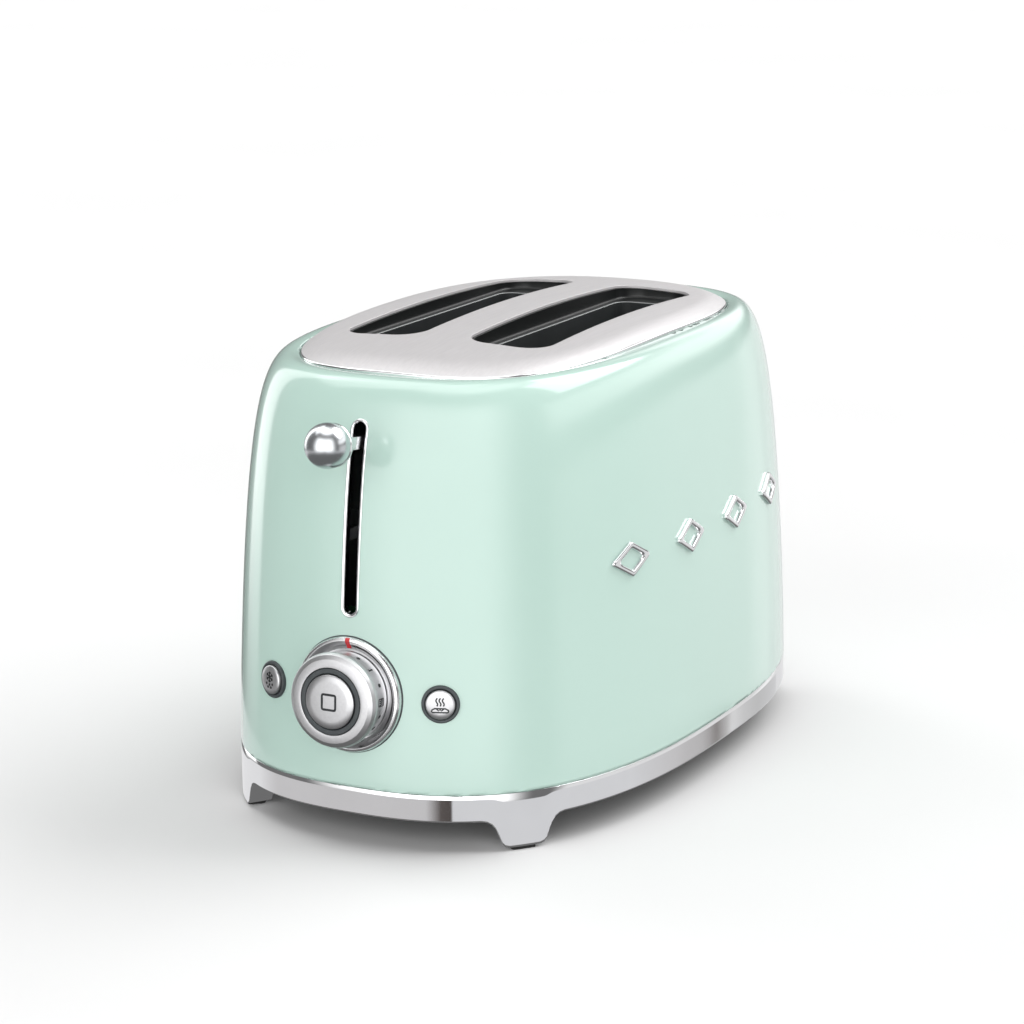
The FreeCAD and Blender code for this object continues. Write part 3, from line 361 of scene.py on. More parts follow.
ENAMEL = enamel_material()
STEEL = varied("satin_steel", (0.55, 0.535, 0.54), (0.58, 0.565, 0.57), (0.42, 0.50), 0.35, 900.0,
               (1, 0.06, 1), 0.03, 0.0001)
POLISHED = varied("polished_chrome", (0.80, 0.80, 0.81), (0.84, 0.84, 0.85), (0.03, 0.07),
                  1.0, 30.0)
SATIN = brushed_material("satin_silver", (0.60, 0.60, 0.61), (0.64, 0.64, 0.65), (0.34, 0.42),
                         (1, 1, 1), 900.0, 0.03)
BALL_CHROME = varied("ball_chrome", (0.62, 0.64, 0.66), (0.66, 0.68, 0.70), (0.24, 0.28),
                     1.0, 30.0)
DISH_CHROME = varied("dish_chrome", (0.76, 0.76, 0.77), (0.80, 0.80, 0.81), (0.16, 0.21),
                     1.0, 30.0)
BRIGHT = varied("bright_silver", (0.84, 0.84, 0.85), (0.88, 0.88, 0.89), (0.16, 0.24),
                1.0, 120.0)
DARK_GREY = varied("dark_grey_plastic", (0.040, 0.047, 0.050), (0.052, 0.060, 0.064), (0.38, 0.5),
                   scale=300.0, bumps=0.05)
BLACK_SHEET = varied("black_sheet", (0.004, 0.005, 0.005), (0.006, 0.007, 0.007), (0.30, 0.36),
                     scale=40.0)
THROAT_GREY = varied("throat_grey", (0.018, 0.021, 0.022), (0.024, 0.027, 0.028), (0.42, 0.5),
                     scale=60.0)
# Lighter grey that paints the highlight along the rounded bead at each slot's throat.
BEAD_PAINTED_HIGHLIGHT = varied("painted_bead_highlight", (0.22, 0.23, 0.23), (0.26, 0.27, 0.27), (0.4, 0.5), 0.4, 60.0)
BLACK_PLASTIC = varied("black_plastic", (0.012, 0.012, 0.013), (0.02, 0.02, 0.022), (0.45, 0.6),
                       scale=400.0, bumps=0.15)
RUBBER = varied("foot_rubber", (0.008, 0.008, 0.008), (0.014, 0.014, 0.014), (0.7, 0.85),
                scale=500.0, bumps=0.2)
PRINT = varied("printed_ink", (0.010, 0.012, 0.014), (0.016, 0.018, 0.02), (0.45, 0.55),
               scale=300.0)
RED = varied("red_mark", (0.50, 0.006, 0.012), (0.56, 0.010, 0.016), (0.3, 0.4), scale=200.0,
             coat=0.4)


# ---- casing curves
def level_plan(s):
    """Half width, half length, plan power, height and rim share at level s of the shell."""
    spread = (1 - s ** SHOULDER_P) ** SHOULDER_X
    rim = max(0.0, 1 - spread / RIM_BLEND) ** 2
    a = TOP_HALF_WIDTH + (HALF_WIDTH - TOP_HALF_WIDTH) * spread
    b = TOP_HALF_LENGTH + (HALF_LENGTH - TOP_HALF_LENGTH) * spread
    power = PLAN_POWER + (TOP_POWER - PLAN_POWER) * s ** 2
    a += rim * (PLATE_HALF_WIDTH + RIM_GAP - TOP_HALF_WIDTH)
    b += rim * (PLATE_HALF_LENGTH + RIM_GAP - TOP_HALF_LENGTH)
    power += rim * (PLATE_POWER - TOP_POWER)
    return a, b, power, BAND_TOP + s * (SHELL_TOP - BAND_TOP), rim


def plan_point(a, b, power, angle):
    c, s = math.cos(angle), math.sin(angle)
    r = (abs(c) ** power + abs(s) ** power) ** (-1 / power)
    return a * r * c, b * r * s


def run_along_plan(steps):
    """Distances along the base outline at even angles from the +X side."""
    points = [plan_point(HALF_WIDTH, HALF_LENGTH, PLAN_POWER, 2 * math.pi * i / steps)
              for i in range(steps + 1)]
    return running_length(points)


def running_length(points):
    run = [0.0]
    for p, q in zip(points, points[1:]):
        run.append(run[-1] + math.dist(p, q))
    return run


def angle_at(run, distance):
    """Angle at a distance along the base outline."""
    distance %= run[-1]
    j = min(bisect.bisect_right(run, distance) - 1, len(run) - 2)
    part = (distance - run[j]) / (run[j + 1] - run[j])
    return 2 * math.pi * (j + part) / (len(run) - 1)


COARSE_RUN = run_along_plan(2048)
ANGLES = [angle_at(COARSE_RUN, COARSE_RUN[-1] * i / AROUND) for i in range(AROUND)]


def plan_ring(a, b, power, height, angles=ANGLES):
    """Closed ring in the row frame; height(x, y) takes coordinates about the body's middle."""
    ring = []
    for angle in angles:
        x, y = plan_point(a, b, power, angle)
        ring.append((x, y + MID_Y, height(x, y)))
    return ring


def skin_ring(s, depth):
    """Section of the casing at level s, depth inside its outer face."""
    a, b, power, z, rim = level_plan(s)
    low, high = level_plan(max(0.0, s - 1e-4)), level_plan(min(1.0, s + 1e-4))
    lean = math.atan2(low[0] - high[0], high[3] - low[3])
    a -= depth * math.cos(lean)
    b -= depth * math.cos(lean)
    z -= depth * math.sin(lean)
    return plan_ring(a, b, power, lambda x, y: z - rim * PLATE_END_DROP * (y / b) ** 2)


def front_y(x, z):
    a, b, power = level_plan((z - BAND_TOP) / (SHELL_TOP - BAND_TOP))[:3]
    return MID_Y - b * (1 - abs(x / a) ** power) ** (1 / power)


def side_x(y, z):
    a, b, power = level_plan((z - BAND_TOP) / (SHELL_TOP - BAND_TOP))[:3]
    return a * (1 - abs((y - MID_Y) / b) ** power) ** (1 / power)


def even_levels(count):
    """Levels from 0 to 1 that divide the casing's profile into equal lengths."""
    fine = [1 - (1 - i / 4000) ** 3 for i in range(4001)]
    sizes = [level_plan(s) for s in fine]
    run = running_length([(size[0], size[3]) for size in sizes])
    levels, j = [], 0
    for i in range(count):
        while j < len(fine) - 1 and run[j] < run[-1] * i / (count - 1):
            j += 1
        levels.append(fine[j])
    return levels


def crown_z(x, y):
    """Height of the top plate's surface about the body's middle."""
    u, v = abs(x / PLATE_HALF_WIDTH), abs(y / PLATE_HALF_LENGTH)
    size = (u ** PLATE_POWER + v ** PLATE_POWER) ** (1 / PLATE_POWER)
    t = max(0.0, (size - PLATE_ROLL_START) / (1 - PLATE_ROLL_START))
    dome = PLATE_DOME * u ** 2 + (PLATE_DOME + PLATE_END_DROP) * v ** 2
    return PLATE_CROWN - dome - PLATE_ROLL * t ** 2


# ---- casing
def helper_solid(name, rings):
    """Hidden solid used only to cut."""
    faces = ring_faces(len(rings), len(rings[0])) + end_caps(len(rings), len(rings[0]))
    solid = bare_piece(name, [p for ring in rings for p in ring], faces)
    tidy_normals(solid)
    return solid


def disc_cutter(name, radius, place, depth, sides=96):
    return helper_solid(name, [[polar(place, radius, 2 * math.pi * k / sides, h) for k in range(sides)]
                               for h in (-depth, depth)])


def box_cutter(name, xs, ys, zs):
    return helper_solid(name, [[(xs[0], ys[0], z), (xs[1], ys[0], z), (xs[1], ys[1], z),
                                (xs[0], ys[1], z)] for z in zs])


def stadium(half_width, z0, z1, arc=16, straight=24):
    """Outline (x, z) of an upright stadium."""
    bottom, top = z0 + half_width, z1 - half_width
    points = []
    for side, centre, other in ((1, top, bottom), (-1, bottom, top)):
        for k in range(arc + 1):
            angle = math.pi * k / arc
            points.append((side * half_width * math.cos(angle),
                           centre + side * half_width * math.sin(angle)))
        points += [(-side * half_width, centre + (other - centre) * i / straight)
                   for i in range(1, straight)]
    return points


trim_low, trim_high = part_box("lever_slot_trim")
TRIM_HALF = (trim_high.x - trim_low.x) / 2
DIAL_PLACE = axis_frame(joints["dial_turn"]["pos_m"], [-c for c in joints["stop_press"]["axis"]])
BEZEL_RADIUS = 23.85 * MM
BUTTON_RING_RADIUS = 7.8 * MM


def button_place(word):
    """Frame of a push button: its axis comes from its joint, its middle from its ring."""
    low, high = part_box(word + "_ring")
    x, z = (low.x + high.x) / 2, (low.z + high.z) / 2
    outward = [-c for c in joints[word + "_press"]["axis"]]
    return axis_frame((x, front_y(x, z), z), outward)


def body_shell():
    """Casing with its holes for the lever, the dial and the two buttons."""
    lip = 0.35 * MM
    rings = [[(x, y, z + 0.05 * MM) for x, y, z in skin_ring(0, depth)] for depth in (SHELL_WALL, lip)]
    outer = [skin_ring(s, 0) for s in even_levels(120)]
    outer[0] = [(x, y, z + 0.4 * MM) for x, y, z in outer[0]]
    rings += outer
    rings += [skin_ring(s, SHELL_WALL) for s in reversed(even_levels(60)[1:])]
    shell = loft("enamel_shell", rings, ENAMEL, "root", closed_loop=True)
    under_trim = 0.8 * MM
    hole = stadium(TRIM_HALF - under_trim, trim_low.z + under_trim, trim_high.z - under_trim)
    front, back = front_y(0, trim_low.z) - 0.02, front_y(0, trim_high.z) + 0.02
    cutters = [helper_solid("slot_cut", [[(x, y, z) for x, z in hole] for y in (front, back)]),
               disc_cutter("dial_cut", BEZEL_RADIUS - 0.6 * MM, DIAL_PLACE, 0.012)]
    for word in ("defrost", "reheat"):
        cutters.append(disc_cutter(word + "_cut", BUTTON_RING_RADIUS - 0.4 * MM,
                                   button_place(word), 0.01))
    cut_away(shell, cutters)
    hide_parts("body_shell")


# ---- top plate
def slot_outline(side, half_width, half_length, corner, count=18):
    """Rounded rectangle (x, y) about the body's middle, counter-clockwise."""
    points = []
    middle_x, middle_y = side * SLOT_X, SLOT_Y - MID_Y
    straight, long_run = 14, 10 * MM
    corners = ((1, 1, 0), (-1, 1, 90), (-1, -1, 180), (1, -1, 270))
    for cx, cy, start in corners:
        ox = middle_x + cx * (half_width - corner)
        oy = middle_y + cy * (half_length - corner)
        for k in range(count + 1):
            angle = math.radians(start + 90 * k / count)
            points.append((ox + corner * math.cos(angle), oy + corner * math.sin(angle)))
    dense = []
    for p, q in zip(points, points[1:] + points[:1]):
        dense.append(p)
        if math.dist(p, q) > long_run:
            dense += [(p[0] + (q[0] - p[0]) * i / straight, p[1] + (q[1] - p[1]) * i / straight)
                      for i in range(1, straight)]
    return dense


def inside(point, ring):
    """Even-odd test of a point in a closed outline."""
    x, y = point
    odd = False
    for (x0, y0), (x1, y1) in zip(ring, ring[1:] + ring[:1]):
        if (y0 > y) != (y1 > y) and x < x0 + (x1 - x0) * (y - y0) / (y1 - y0):
            odd = not odd
    return odd


GRID_MARGIN = 1.2 * MM         # grid points stay this far from the plate's edges


def slot_pair(grow, corner, count=18):
    """Outlines of both slots, grown by a distance."""
    return [slot_outline(side, SLOT_HALF_WIDTH + grow, SLOT_HALF_LENGTH + grow, corner, count)
            for side in (-1, 1)]


def top_plate():
    """Domed plate with rolled outer edge and two slots."""
    outer, limit = ([plan_point(PLATE_HALF_WIDTH - inset, PLATE_HALF_LENGTH - inset, PLATE_POWER, t)
                     for t in angles]
                    for inset, angles in ((PLATE_EDGE, ANGLES),
                                          (PLATE_EDGE + GRID_MARGIN, ANGLES[::4])))
    holes = slot_pair(SLOT_EDGE, SLOT_CORNER + SLOT_EDGE)
    flat, edges = [], []
    for ring in [outer] + holes:
        start = len(flat)
        flat += ring
        edges += [(start + i, start + (i + 1) % len(ring)) for i in range(len(ring))]
    step = 2.2 * MM
    columns, rows = int(PLATE_HALF_WIDTH / step), int(PLATE_HALF_LENGTH / step)
    keep_out = slot_pair(SLOT_EDGE + GRID_MARGIN, SLOT_CORNER, 4)
    for i in range(-columns, columns + 1):
        for j in range(-rows, rows + 1):
            point = (i * step, j * step)
            if inside(point, limit) and not any(inside(point, hole) for hole in keep_out):
                flat.append(point)
    found = delaunay_2d_cdt([Vector(p) for p in flat], edges, [], 0, 1e-7)
    flat = [tuple(p) for p in found[0]]
    faces = []
    for face in found[2]:
        middle = [sum(flat[i][axis] for i in face) / len(face) for axis in (0, 1)]
        if inside(middle, outer) and not any(inside(middle, hole) for hole in holes):
            faces.append(tuple(face))
    verts = [(x, y + MID_Y, crown_z(x, y)) for x, y in flat]
    satin_faces = len(faces)

    def add_strip(rings):
        start = len(verts)
        for ring in rings:
            verts.extend(ring)
        faces.extend(ring_faces(len(rings), len(rings[0]), start))

    rolled = [(0.5, 0.0), (0.40, 0.01), (0.27, 0.05), (0.16, 0.12), (0.07, 0.22), (0.02, 0.35),
              (0.0, 0.5), (0.0, 5.0), (1.0, 5.0), (1.0, 1.2)]
    strip = []
    for inset, drop in rolled:
        a, b = PLATE_HALF_WIDTH - inset * MM, PLATE_HALF_LENGTH - inset * MM
        strip.append(plan_ring(a, b, PLATE_POWER, lambda x, y, d=drop: crown_z(x, y) - d * MM))
    add_strip(strip)
    polished_faces = len(faces)
    lips = ((0.25, 0.0), (0.12, 0.03), (0.03, 0.12), (0.0, 0.25), (0.0, 1.2), (1.2, 1.2))
    for index in (0, 1):
        strip = []
        for grow, drop in lips:
            ring = slot_pair(grow * MM, SLOT_CORNER + grow * MM)[index]
            strip.append([(x, y + MID_Y, crown_z(x, y) - drop * MM) for x, y in ring])
        add_strip(strip)
    plate = new_piece("steel_top_plate", verts, faces, STEEL, "root", smooth=False)
    plate.data.materials.append(POLISHED)
    for index, face in enumerate(plate.data.polygons):
        face.use_smooth = True
        if satin_faces <= index < polished_faces:
            face.material_index = 1
    plate.data.set_sharp_from_angle(angle=math.radians(40))
    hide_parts("top_plate")


def slot_liner(side, word):
    """Black well, ledge and throat of one slot, as one continuous sheet with thickness."""
    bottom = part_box(word + "_slot_liner")[0].z
    wall, gap = 0.9 * MM, 0.15 * MM
    well_x, well_y, corner = SLOT_HALF_WIDTH - gap, SLOT_HALF_LENGTH - gap, SLOT_CORNER - gap
    throat_x, throat_y, throat_corner = 13.6 * MM, 64.0 * MM, 6.0 * MM

    def ring(half_x, half_y, radius, height):
        return [(x, y + MID_Y, height(x, y)) for x, y in slot_outline(side, half_x, half_y, radius)]

    def under_plate(x, y):
        return crown_z(x, y) - 1.3 * MM

    def level(z):
        return lambda x, y: z

    top = LINER_LEDGE + wall
    rings = [ring(well_x, well_y, corner, under_plate),
             ring(well_x - wall, well_y - wall, corner - wall, under_plate)]
    for inset, rise in ((0.0, 1.0), (0.1, 0.6), (0.3, 0.3), (0.6, 0.1), (1.0, 0.0)):
        grow = wall + inset * MM
        rings.append(ring(well_x - grow, well_y - grow, corner - grow, level(top + rise * MM)))
    bead = len(rings)
    for grow, rise in ((0.9, 0.0), (0.75, 0.14), (0.5, 0.2), (0.2, 0.14), (0.0, -0.1)):
        rings.append(ring(throat_x + grow * MM, throat_y + grow * MM, throat_corner + grow * MM,
                          level(top + rise * MM)))
    throat = len(rings)
    rings += [ring(throat_x, throat_y, throat_corner, level(bottom)),
              ring(throat_x + wall, throat_y + wall, throat_corner + wall, level(bottom)),
              ring(throat_x + wall, throat_y + wall, throat_corner + wall, level(LINER_LEDGE)),
              ring(well_x, well_y, corner, level(LINER_LEDGE))]
    liner = loft(word + "_slot_throat", rings, BLACK_SHEET, "root", closed_loop=True)
    # Second material: lighter grey that paints the bead's highlight; third: the throat wall's grey.
    liner.data.materials.append(BEAD_PAINTED_HIGHLIGHT)
    liner.data.materials.append(THROAT_GREY)
    size = len(rings[0])
    for index, face in enumerate(liner.data.polygons):
        strip = index // size
        if bead <= strip < throat - 1:
            face.material_index = 1
        elif strip == throat - 1:
            face.material_index = 2
    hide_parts(word + "_slot_liner")


# ---- base band and feet
FOOT_X = 67.0 * MM
FOOT_Y = 129.9 * MM
FOOT_DEPTH = 9.5 * MM
FOOT_REACH = 19.5 * MM         # along the band, to each side of a foot's middle
FLARE = [(18.5, 13.2), (16.0, 12.75), (13.9, 11.5), (12.4, 9.6), (11.4, 7.4), (10.3, 4.6),
         (9.6, 2.9), (8.5, 1.8), (6.7, 1.25)]


def band_columns():
    """Columns of the band: (angle, height of the lower edge) in order."""
    steps = 8192
    run = run_along_plan(steps)
    total = run[-1]
    quarter_angle = math.atan2(FOOT_Y / HALF_LENGTH, FOOT_X / HALF_WIDTH)
    first = run[round(quarter_angle * steps / (2 * math.pi))]
    centres = [first, total / 2 - first, total / 2 + first, total - first]
    smooth_flare = []
    for (t0, z0), (t1, z1) in zip(FLARE, FLARE[1:]):
        smooth_flare += [(t0 + (t1 - t0) * k / 3, z0 + (z1 - z0) * k / 3) for k in range(3)]
    smooth_flare.append(FLARE[-1])
    columns = {}
    for i in range(AROUND):
        distance = total * i / AROUND
        near = min(abs((distance - c + total / 2) % total - total / 2) for c in centres)
        if near > FOOT_REACH:
            columns[distance] = BAND_BOTTOM
    for centre in centres:
        for t, z in smooth_flare:
            columns[centre - t * MM] = z * MM
            columns[centre + t * MM] = z * MM
        for k in range(-4, 5):
            columns[centre + k * 1.3 * MM] = FLARE[-1][1] * MM
    ordered = sorted(columns.items())
    return [(angle_at(run, d), z) for d, z in ordered]


def base_band():
    """Polished band whose lower edge runs down into four flared feet."""
    columns = band_columns()
    bead, edge = 0.32 * MM, 0.5 * MM

    def ring(inset, height):
        """Ring whose inset and height each follow from the lower edge's height there."""
        points = []
        for angle, bottom in columns:
            depth = inset(bottom)
            x, y = plan_point(HALF_WIDTH - depth, HALF_LENGTH - depth, PLAN_POWER, angle)
            points.append((x, y + MID_Y, height(bottom)))
        return points

    def fixed(value):
        return lambda bottom: value

    def over(rise):
        return lambda bottom: bottom + rise

    def foot_depth(extra):
        return lambda bottom: extra * (BAND_WALL + (FOOT_DEPTH - BAND_WALL)
                                       * min(1.0, (BAND_BOTTOM - bottom) / (4 * MM)))

    def over_in_foot(rise):
        return lambda bottom: bottom + (rise if bottom < BAND_BOTTOM - 1e-6 else 0)

    rings = [ring(fixed(BAND_WALL), fixed(BAND_TOP)), ring(fixed(bead), fixed(BAND_TOP)),
             ring(fixed(bead * 0.3), fixed(BAND_TOP - bead * 0.3)),
             ring(fixed(0), fixed(BAND_TOP - bead))]
    for share in (0.85, 0.6, 0.35, 0.15, 0.03):
        rings.append(ring(fixed(0), lambda bottom, s=share: bottom + edge
                          + (BAND_TOP - bead - bottom - edge) * s))
    rings += [ring(fixed(0), over(edge)), ring(fixed(0.15 * MM), over(0.15 * MM)),
              ring(fixed(edge), over(0)), ring(fixed(BAND_WALL), over(0)),
              ring(foot_depth(1.0), over_in_foot(0.0)), ring(foot_depth(1.04), over_in_foot(edge)),
              ring(foot_depth(1.04), fixed(BAND_FLOOR)), ring(fixed(BAND_WALL), fixed(BAND_FLOOR))]
    band = loft("chrome_base_band", rings, POLISHED, "root", closed_loop=True)
    cut_away(band, [box_cutter("mouth_cut", (-51.4 * MM, 51.4 * MM), (MID_Y + 0.13, MID_Y + 0.17),
                               (17.1 * MM, 23.0 * MM))])
    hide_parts("base_band")


# ---- lever
def scaled(points):
    return [(r * MM, h * MM) for r, h in points]


def lever():
    """Ball and the cup behind it, on the tilted stem."""
    low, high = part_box("lever_ball")
    middle = (low + high) / 2
    radius = (high.z - low.z) / 2
    tilt = math.radians(8.2)
    inward = Vector((0, math.cos(tilt), -math.sin(tilt)))
    place = axis_frame(middle, -inward)
    count = 48
    profile = [(radius * math.sin(math.pi * k / count), radius * math.cos(math.pi * k / count))
               for k in range(count + 1)]
    ball = lathe("chrome_lever_ball", [(max(0.0, r), h) for r, h in profile], place, BALL_CHROME,
                 "carriage", 128)
    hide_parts("lever_ball")
    cup = [(8.55, -3.3), (8.8, -4.0), (8.75, -4.8), (8.2, -6.0), (7.2, -7.4), (5.6, -8.8),
           (4.0, -9.6), (2.6, -9.9)]
    profile = scaled(soften([(8.2, -3.6)] + cup + [(2.6, -6.0)], 0.25))
    collar = lathe("satin_lever_cup", profile, place, BRIGHT, "carriage")
    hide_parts("lever_collar")


def slot_trim():
    """Polished frame round the lever slot, following the casing."""
    profile = [(0.0, -0.1), (0.0, 0.35), (0.12, 0.62), (0.4, 0.80), (0.75, 0.80), (1.05, 0.62),
               (1.25, 0.35), (1.4, 0.0), (1.4, -2.4), (0.95, -2.4), (0.9, -0.1)]
    rings = []
    for inset, height in profile:
        shape = stadium(TRIM_HALF - inset * MM, trim_low.z + inset * MM, trim_high.z - inset * MM)
        rings.append([(x, front_y(x, z) - height * MM, z) for x, z in shape])
    trim = loft("chrome_slot_trim", rings, POLISHED, "root", closed_loop=True)
    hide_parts("lever_slot_trim")


# ---- dial
def dial():
    """Bezel, knob, grey ring and the round button in the middle."""
    bezel = soften([(23.85, -3.4), (23.85, 0.75), (23.3, 1.75), (22.2, 2.0), (21.2, 1.4),
                    (20.0, 0.35), (18.9, 0.1), (16.5, 0.1)], 0.5, 5)
    bezel += [(5.2, 0.1), (5.2, -1.2), (22.3, -1.2), (22.3, -3.4), (23.85, -3.4)]
    piece = lathe("chrome_dial_bezel", scaled(bezel), DIAL_PLACE, DISH_CHROME, "root", 160)
    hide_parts("dial_bezel")

    knob = [(16.4, 0.6), (17.7, 0.6), (17.9, 0.8), (17.9, 9.2)]
    knob += soften([(17.9, 9.5), (19.5, 10.3), (19.6, 12.0), (18.9, 13.6), (17.2, 14.55),
                    (15.2, 14.8), (13.85, 14.8), (13.75, 14.4)], 0.6, 5)
    knob += [(13.75, 8.0), (3.1, 8.0), (3.1, -18.0), (5.0, -18.0), (5.0, 5.5), (16.4, 5.5),
             (16.4, 0.6)]
    piece = lathe("satin_browning_dial", scaled(knob), DIAL_PLACE, SATIN, "dial", 160)
    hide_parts("browning_dial")

    ring = [(13.7, 8.05), (13.7, 14.3)]
    ring += soften([(13.6, 14.6), (13.4, 14.95), (11.8, 14.95), (11.5, 14.6)], 0.2)
    ring += [(11.5, 8.05), (13.7, 8.05)]
    piece = lathe("dark_stop_ring", scaled(ring), DIAL_PLACE, DARK_GREY, "dial", 128)
    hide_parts("stop_ring")

    cap = [(0, 16.1), (4.0, 16.08), (8.0, 15.98)]
    cap += soften([(10.4, 15.8), (11.1, 15.3), (11.2, 14.4)], 0.4)
    cap += [(11.2, 10.4), (3.0, 10.4), (3.0, -22.6), (0, -22.6)]
    piece = lathe("satin_stop_cap", scaled(cap), DIAL_PLACE, SATIN, "stop_key", 128)
    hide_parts("stop_button")


def dial_shadow_ring():
    """Dark grey ring of painted shadow where the bezel meets the casing."""
    sides = 160
    rings = []
    for grow, lift in ((-0.4, -0.6), (-0.4, 0.14), (0.36, 0.14), (0.42, 0.05), (0.42, -0.6)):
        points = [polar(DIAL_PLACE, BEZEL_RADIUS + grow * MM, 2 * math.pi * k / sides)
                  for k in range(sides)]
        rings.append([(p.x, front_y(p.x, p.z) - lift * MM, p.z) for p in points])
    # Dark grey ring that paints the contact shadow round the bezel's edge.
    loft("painted_shadow_dial_ring", rings, DARK_GREY, "root", closed_loop=True)


def pointer():
    """Red inlay that follows the bezel's section from its rim down to the dial."""
    half_width, thickness = 1.0, 0.5
    section = [(23.6, 1.35), (23.2, 1.85), (22.2, 2.08), (21.2, 1.52), (20.0, 0.47), (19.1, 0.22)]
    verts, faces = [], []
    for r, h in section:
        for side in (-1, 1):
            for lift in (0.0, -thickness):
                verts.append(DIAL_PLACE @ Vector((side * half_width * MM, r * MM, (h + lift) * MM)))
    for i in range(len(section) - 1):
        a, b = i * 4, (i + 1) * 4
        faces += [(a, a + 2, b + 2, b), (a + 1, b + 1, b + 3, a + 3), (a, b, b + 1, a + 1),
                  (a + 2, a + 3, b + 3, b + 2)]
    end = (len(section) - 1) * 4
    faces += [(0, 1, 3, 2), (end, end + 2, end + 3, end + 1)]
    piece = new_piece("red_dial_pointer", verts, faces, RED, "root")
    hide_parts("dial_pointer")


# ---- printing
def stroke(points, width, closed=False):
    """Flat ribbon of constant width along 2D points, as (verts, faces)."""
    count = len(points)
    verts, faces = [], []
    for i, point in enumerate(points):
        last = points[i - 1] if closed or i else point
        after = points[(i + 1) % count] if closed or i < count - 1 else point
        along = Vector((after[0] - last[0], after[1] - last[1])).normalized()
        side = Vector((-along.y, along.x)) * width / 2
        verts += [(point[0] + side.x, point[1] + side.y), (point[0] - side.x, point[1] - side.y)]
    pairs = count if closed else count - 1
    for i in range(pairs):
        a, b = 2 * i, 2 * ((i + 1) % count)
        faces.append((a, a + 1, b + 1, b))
    return verts, faces


def dot(x, y, radius, steps=20):
    angles = [2 * math.pi * k / steps for k in range(steps)]
    verts = [(x + radius * math.cos(t), y + radius * math.sin(t)) for t in angles]
    return verts, [tuple(range(steps))]


def gathered(parts):
    verts, faces = [], []
    for part_verts, part_faces in parts:
        start = len(verts)
        verts += part_verts
        faces += [tuple(start + i for i in face) for face in part_faces]
    return verts, faces


def printed(name, parts, mapping, body, material=PRINT):
    """Thin printed marks: 2D parts in millimetres, mapped into the row frame."""
    verts, faces = gathered(parts)
    piece = new_piece(name, [mapping(x, y) for x, y in verts], faces, material, body, smooth=False)
    film = piece.modifiers.new("film", "SOLIDIFY")
    film.thickness = 0.05 * MM
    film.offset = 0
    settle(piece)
    return piece


DIGITS = {
    "1": [[(-0.55, 0.75), (0.1, 1.25), (0.1, -1.25)]],
    "2": [[(-0.75, 0.7), (-0.55, 1.1), (0, 1.28), (0.55, 1.1), (0.75, 0.65), (0.6, 0.2),
           (-0.75, -1.2), (0.8, -1.2)]],
    "3": [[(-0.7, 0.95), (-0.3, 1.25), (0.3, 1.2), (0.65, 0.85), (0.6, 0.35), (0.05, 0.08),
           (0.65, -0.2), (0.75, -0.7), (0.4, -1.15), (-0.2, -1.27), (-0.75, -0.95)]],
    "4": [[(0.35, -1.25), (0.35, 1.25), (-0.85, -0.55), (0.8, -0.55)]],
    "5": [[(0.65, 1.2), (-0.5, 1.2), (-0.6, 0.15), (0, 0.35), (0.55, 0.15), (0.75, -0.4),
           (0.5, -1.0), (-0.1, -1.27), (-0.75, -1.0)]],
    "6": [[(0.5, 1.2), (-0.1, 0.9), (-0.6, 0.2), (-0.72, -0.5), (-0.4, -1.1), (0.1, -1.27),
           (0.6, -1.0), (0.72, -0.45), (0.4, 0.05), (-0.1, 0.15), (-0.6, -0.15)]],
}


def curved(points, steps=6):
    """Catmull-Rom curve through 2D points."""
    if len(points) < 3:
        return points
    ends = [points[0]] + list(points) + [points[-1]]
    result = []
    for i in range(1, len(ends) - 2):
        p0, p1, p2, p3 = (Vector(p) for p in ends[i - 1:i + 3])
        for k in range(steps):
            t = k / steps
            square = 2 * p0 - 5 * p1 + 4 * p2 - p3
            cube = 3 * p1 - p0 - 3 * p2 + p3
            result.append(tuple(0.5 * (2 * p1 + (p2 - p0) * t + square * t * t + cube * t ** 3)))
    result.append(points[-1])
    return result


def wavy(x, y0, y1, swing, steps=20):
    """Upright wave of 1.1 periods."""
    return [(x + swing * math.sin(math.pi * 2.2 * k / steps), y0 + (y1 - y0) * k / steps)
            for k in range(steps + 1)]


def dial_marks():
    """Numbers, dots and one bread symbol printed round the dial's sleeve."""
    radius, middle = 17.94, 5.0   # of the sleeve, in millimetres

    def sleeve(degrees):
        start = math.radians(90 - degrees)
        return lambda x, y: polar(DIAL_PLACE, radius * MM, start - x / radius, (middle - y) * MM)

    for index in range(6):
        lines = DIGITS[str(index + 1)]
        glyph = [stroke(curved(line, 4) if len(line) > 4 else line, 0.62) for line in lines]
        glyph = [([(1.15 * x, -1.15 * y) for x, y in verts], faces) for verts, faces in glyph]
        place = 90 + 40 * index if index else 45
        printed("dial_number_%d" % (index + 1), glyph, sleeve(place), "dial")
    for index, angle in enumerate((22, 68, 110, 150, 190, 230, 270)):
        printed("dial_dot_%d" % (index + 1), [dot(0, 0.6, 0.85)], sleeve(angle), "dial")
    frame_line = [(-1.5, -1.9), (1.5, -1.9), (1.5, 1.9), (-1.5, 1.9)]
    slice_mark = [stroke(soften(frame_line, 0.6, 4, True), 0.42, True)]
    slice_mark += [stroke(wavy(x, -1.2, 1.2, 0.25), 0.45) for x in (-0.8, 0, 0.8)]
    printed("dial_slice_mark", slice_mark, sleeve(90), "dial")


def cap_mapping(place, height):
    return lambda x, y: place @ Vector((x * MM, y * MM, height * MM))


def stop_mark():
    """Plain square: the usual sign for stop."""
    half = 3.1
    outline = soften([(-half, -half), (half, -half), (half, half), (-half, half)], 0.8, 6, True)
    printed("stop_mark", [stroke(outline, 0.95, True)], cap_mapping(DIAL_PLACE, 16.12), "stop_key")


# ---- push buttons
BUTTON_FACE = 2.25            # millimetres over the casing


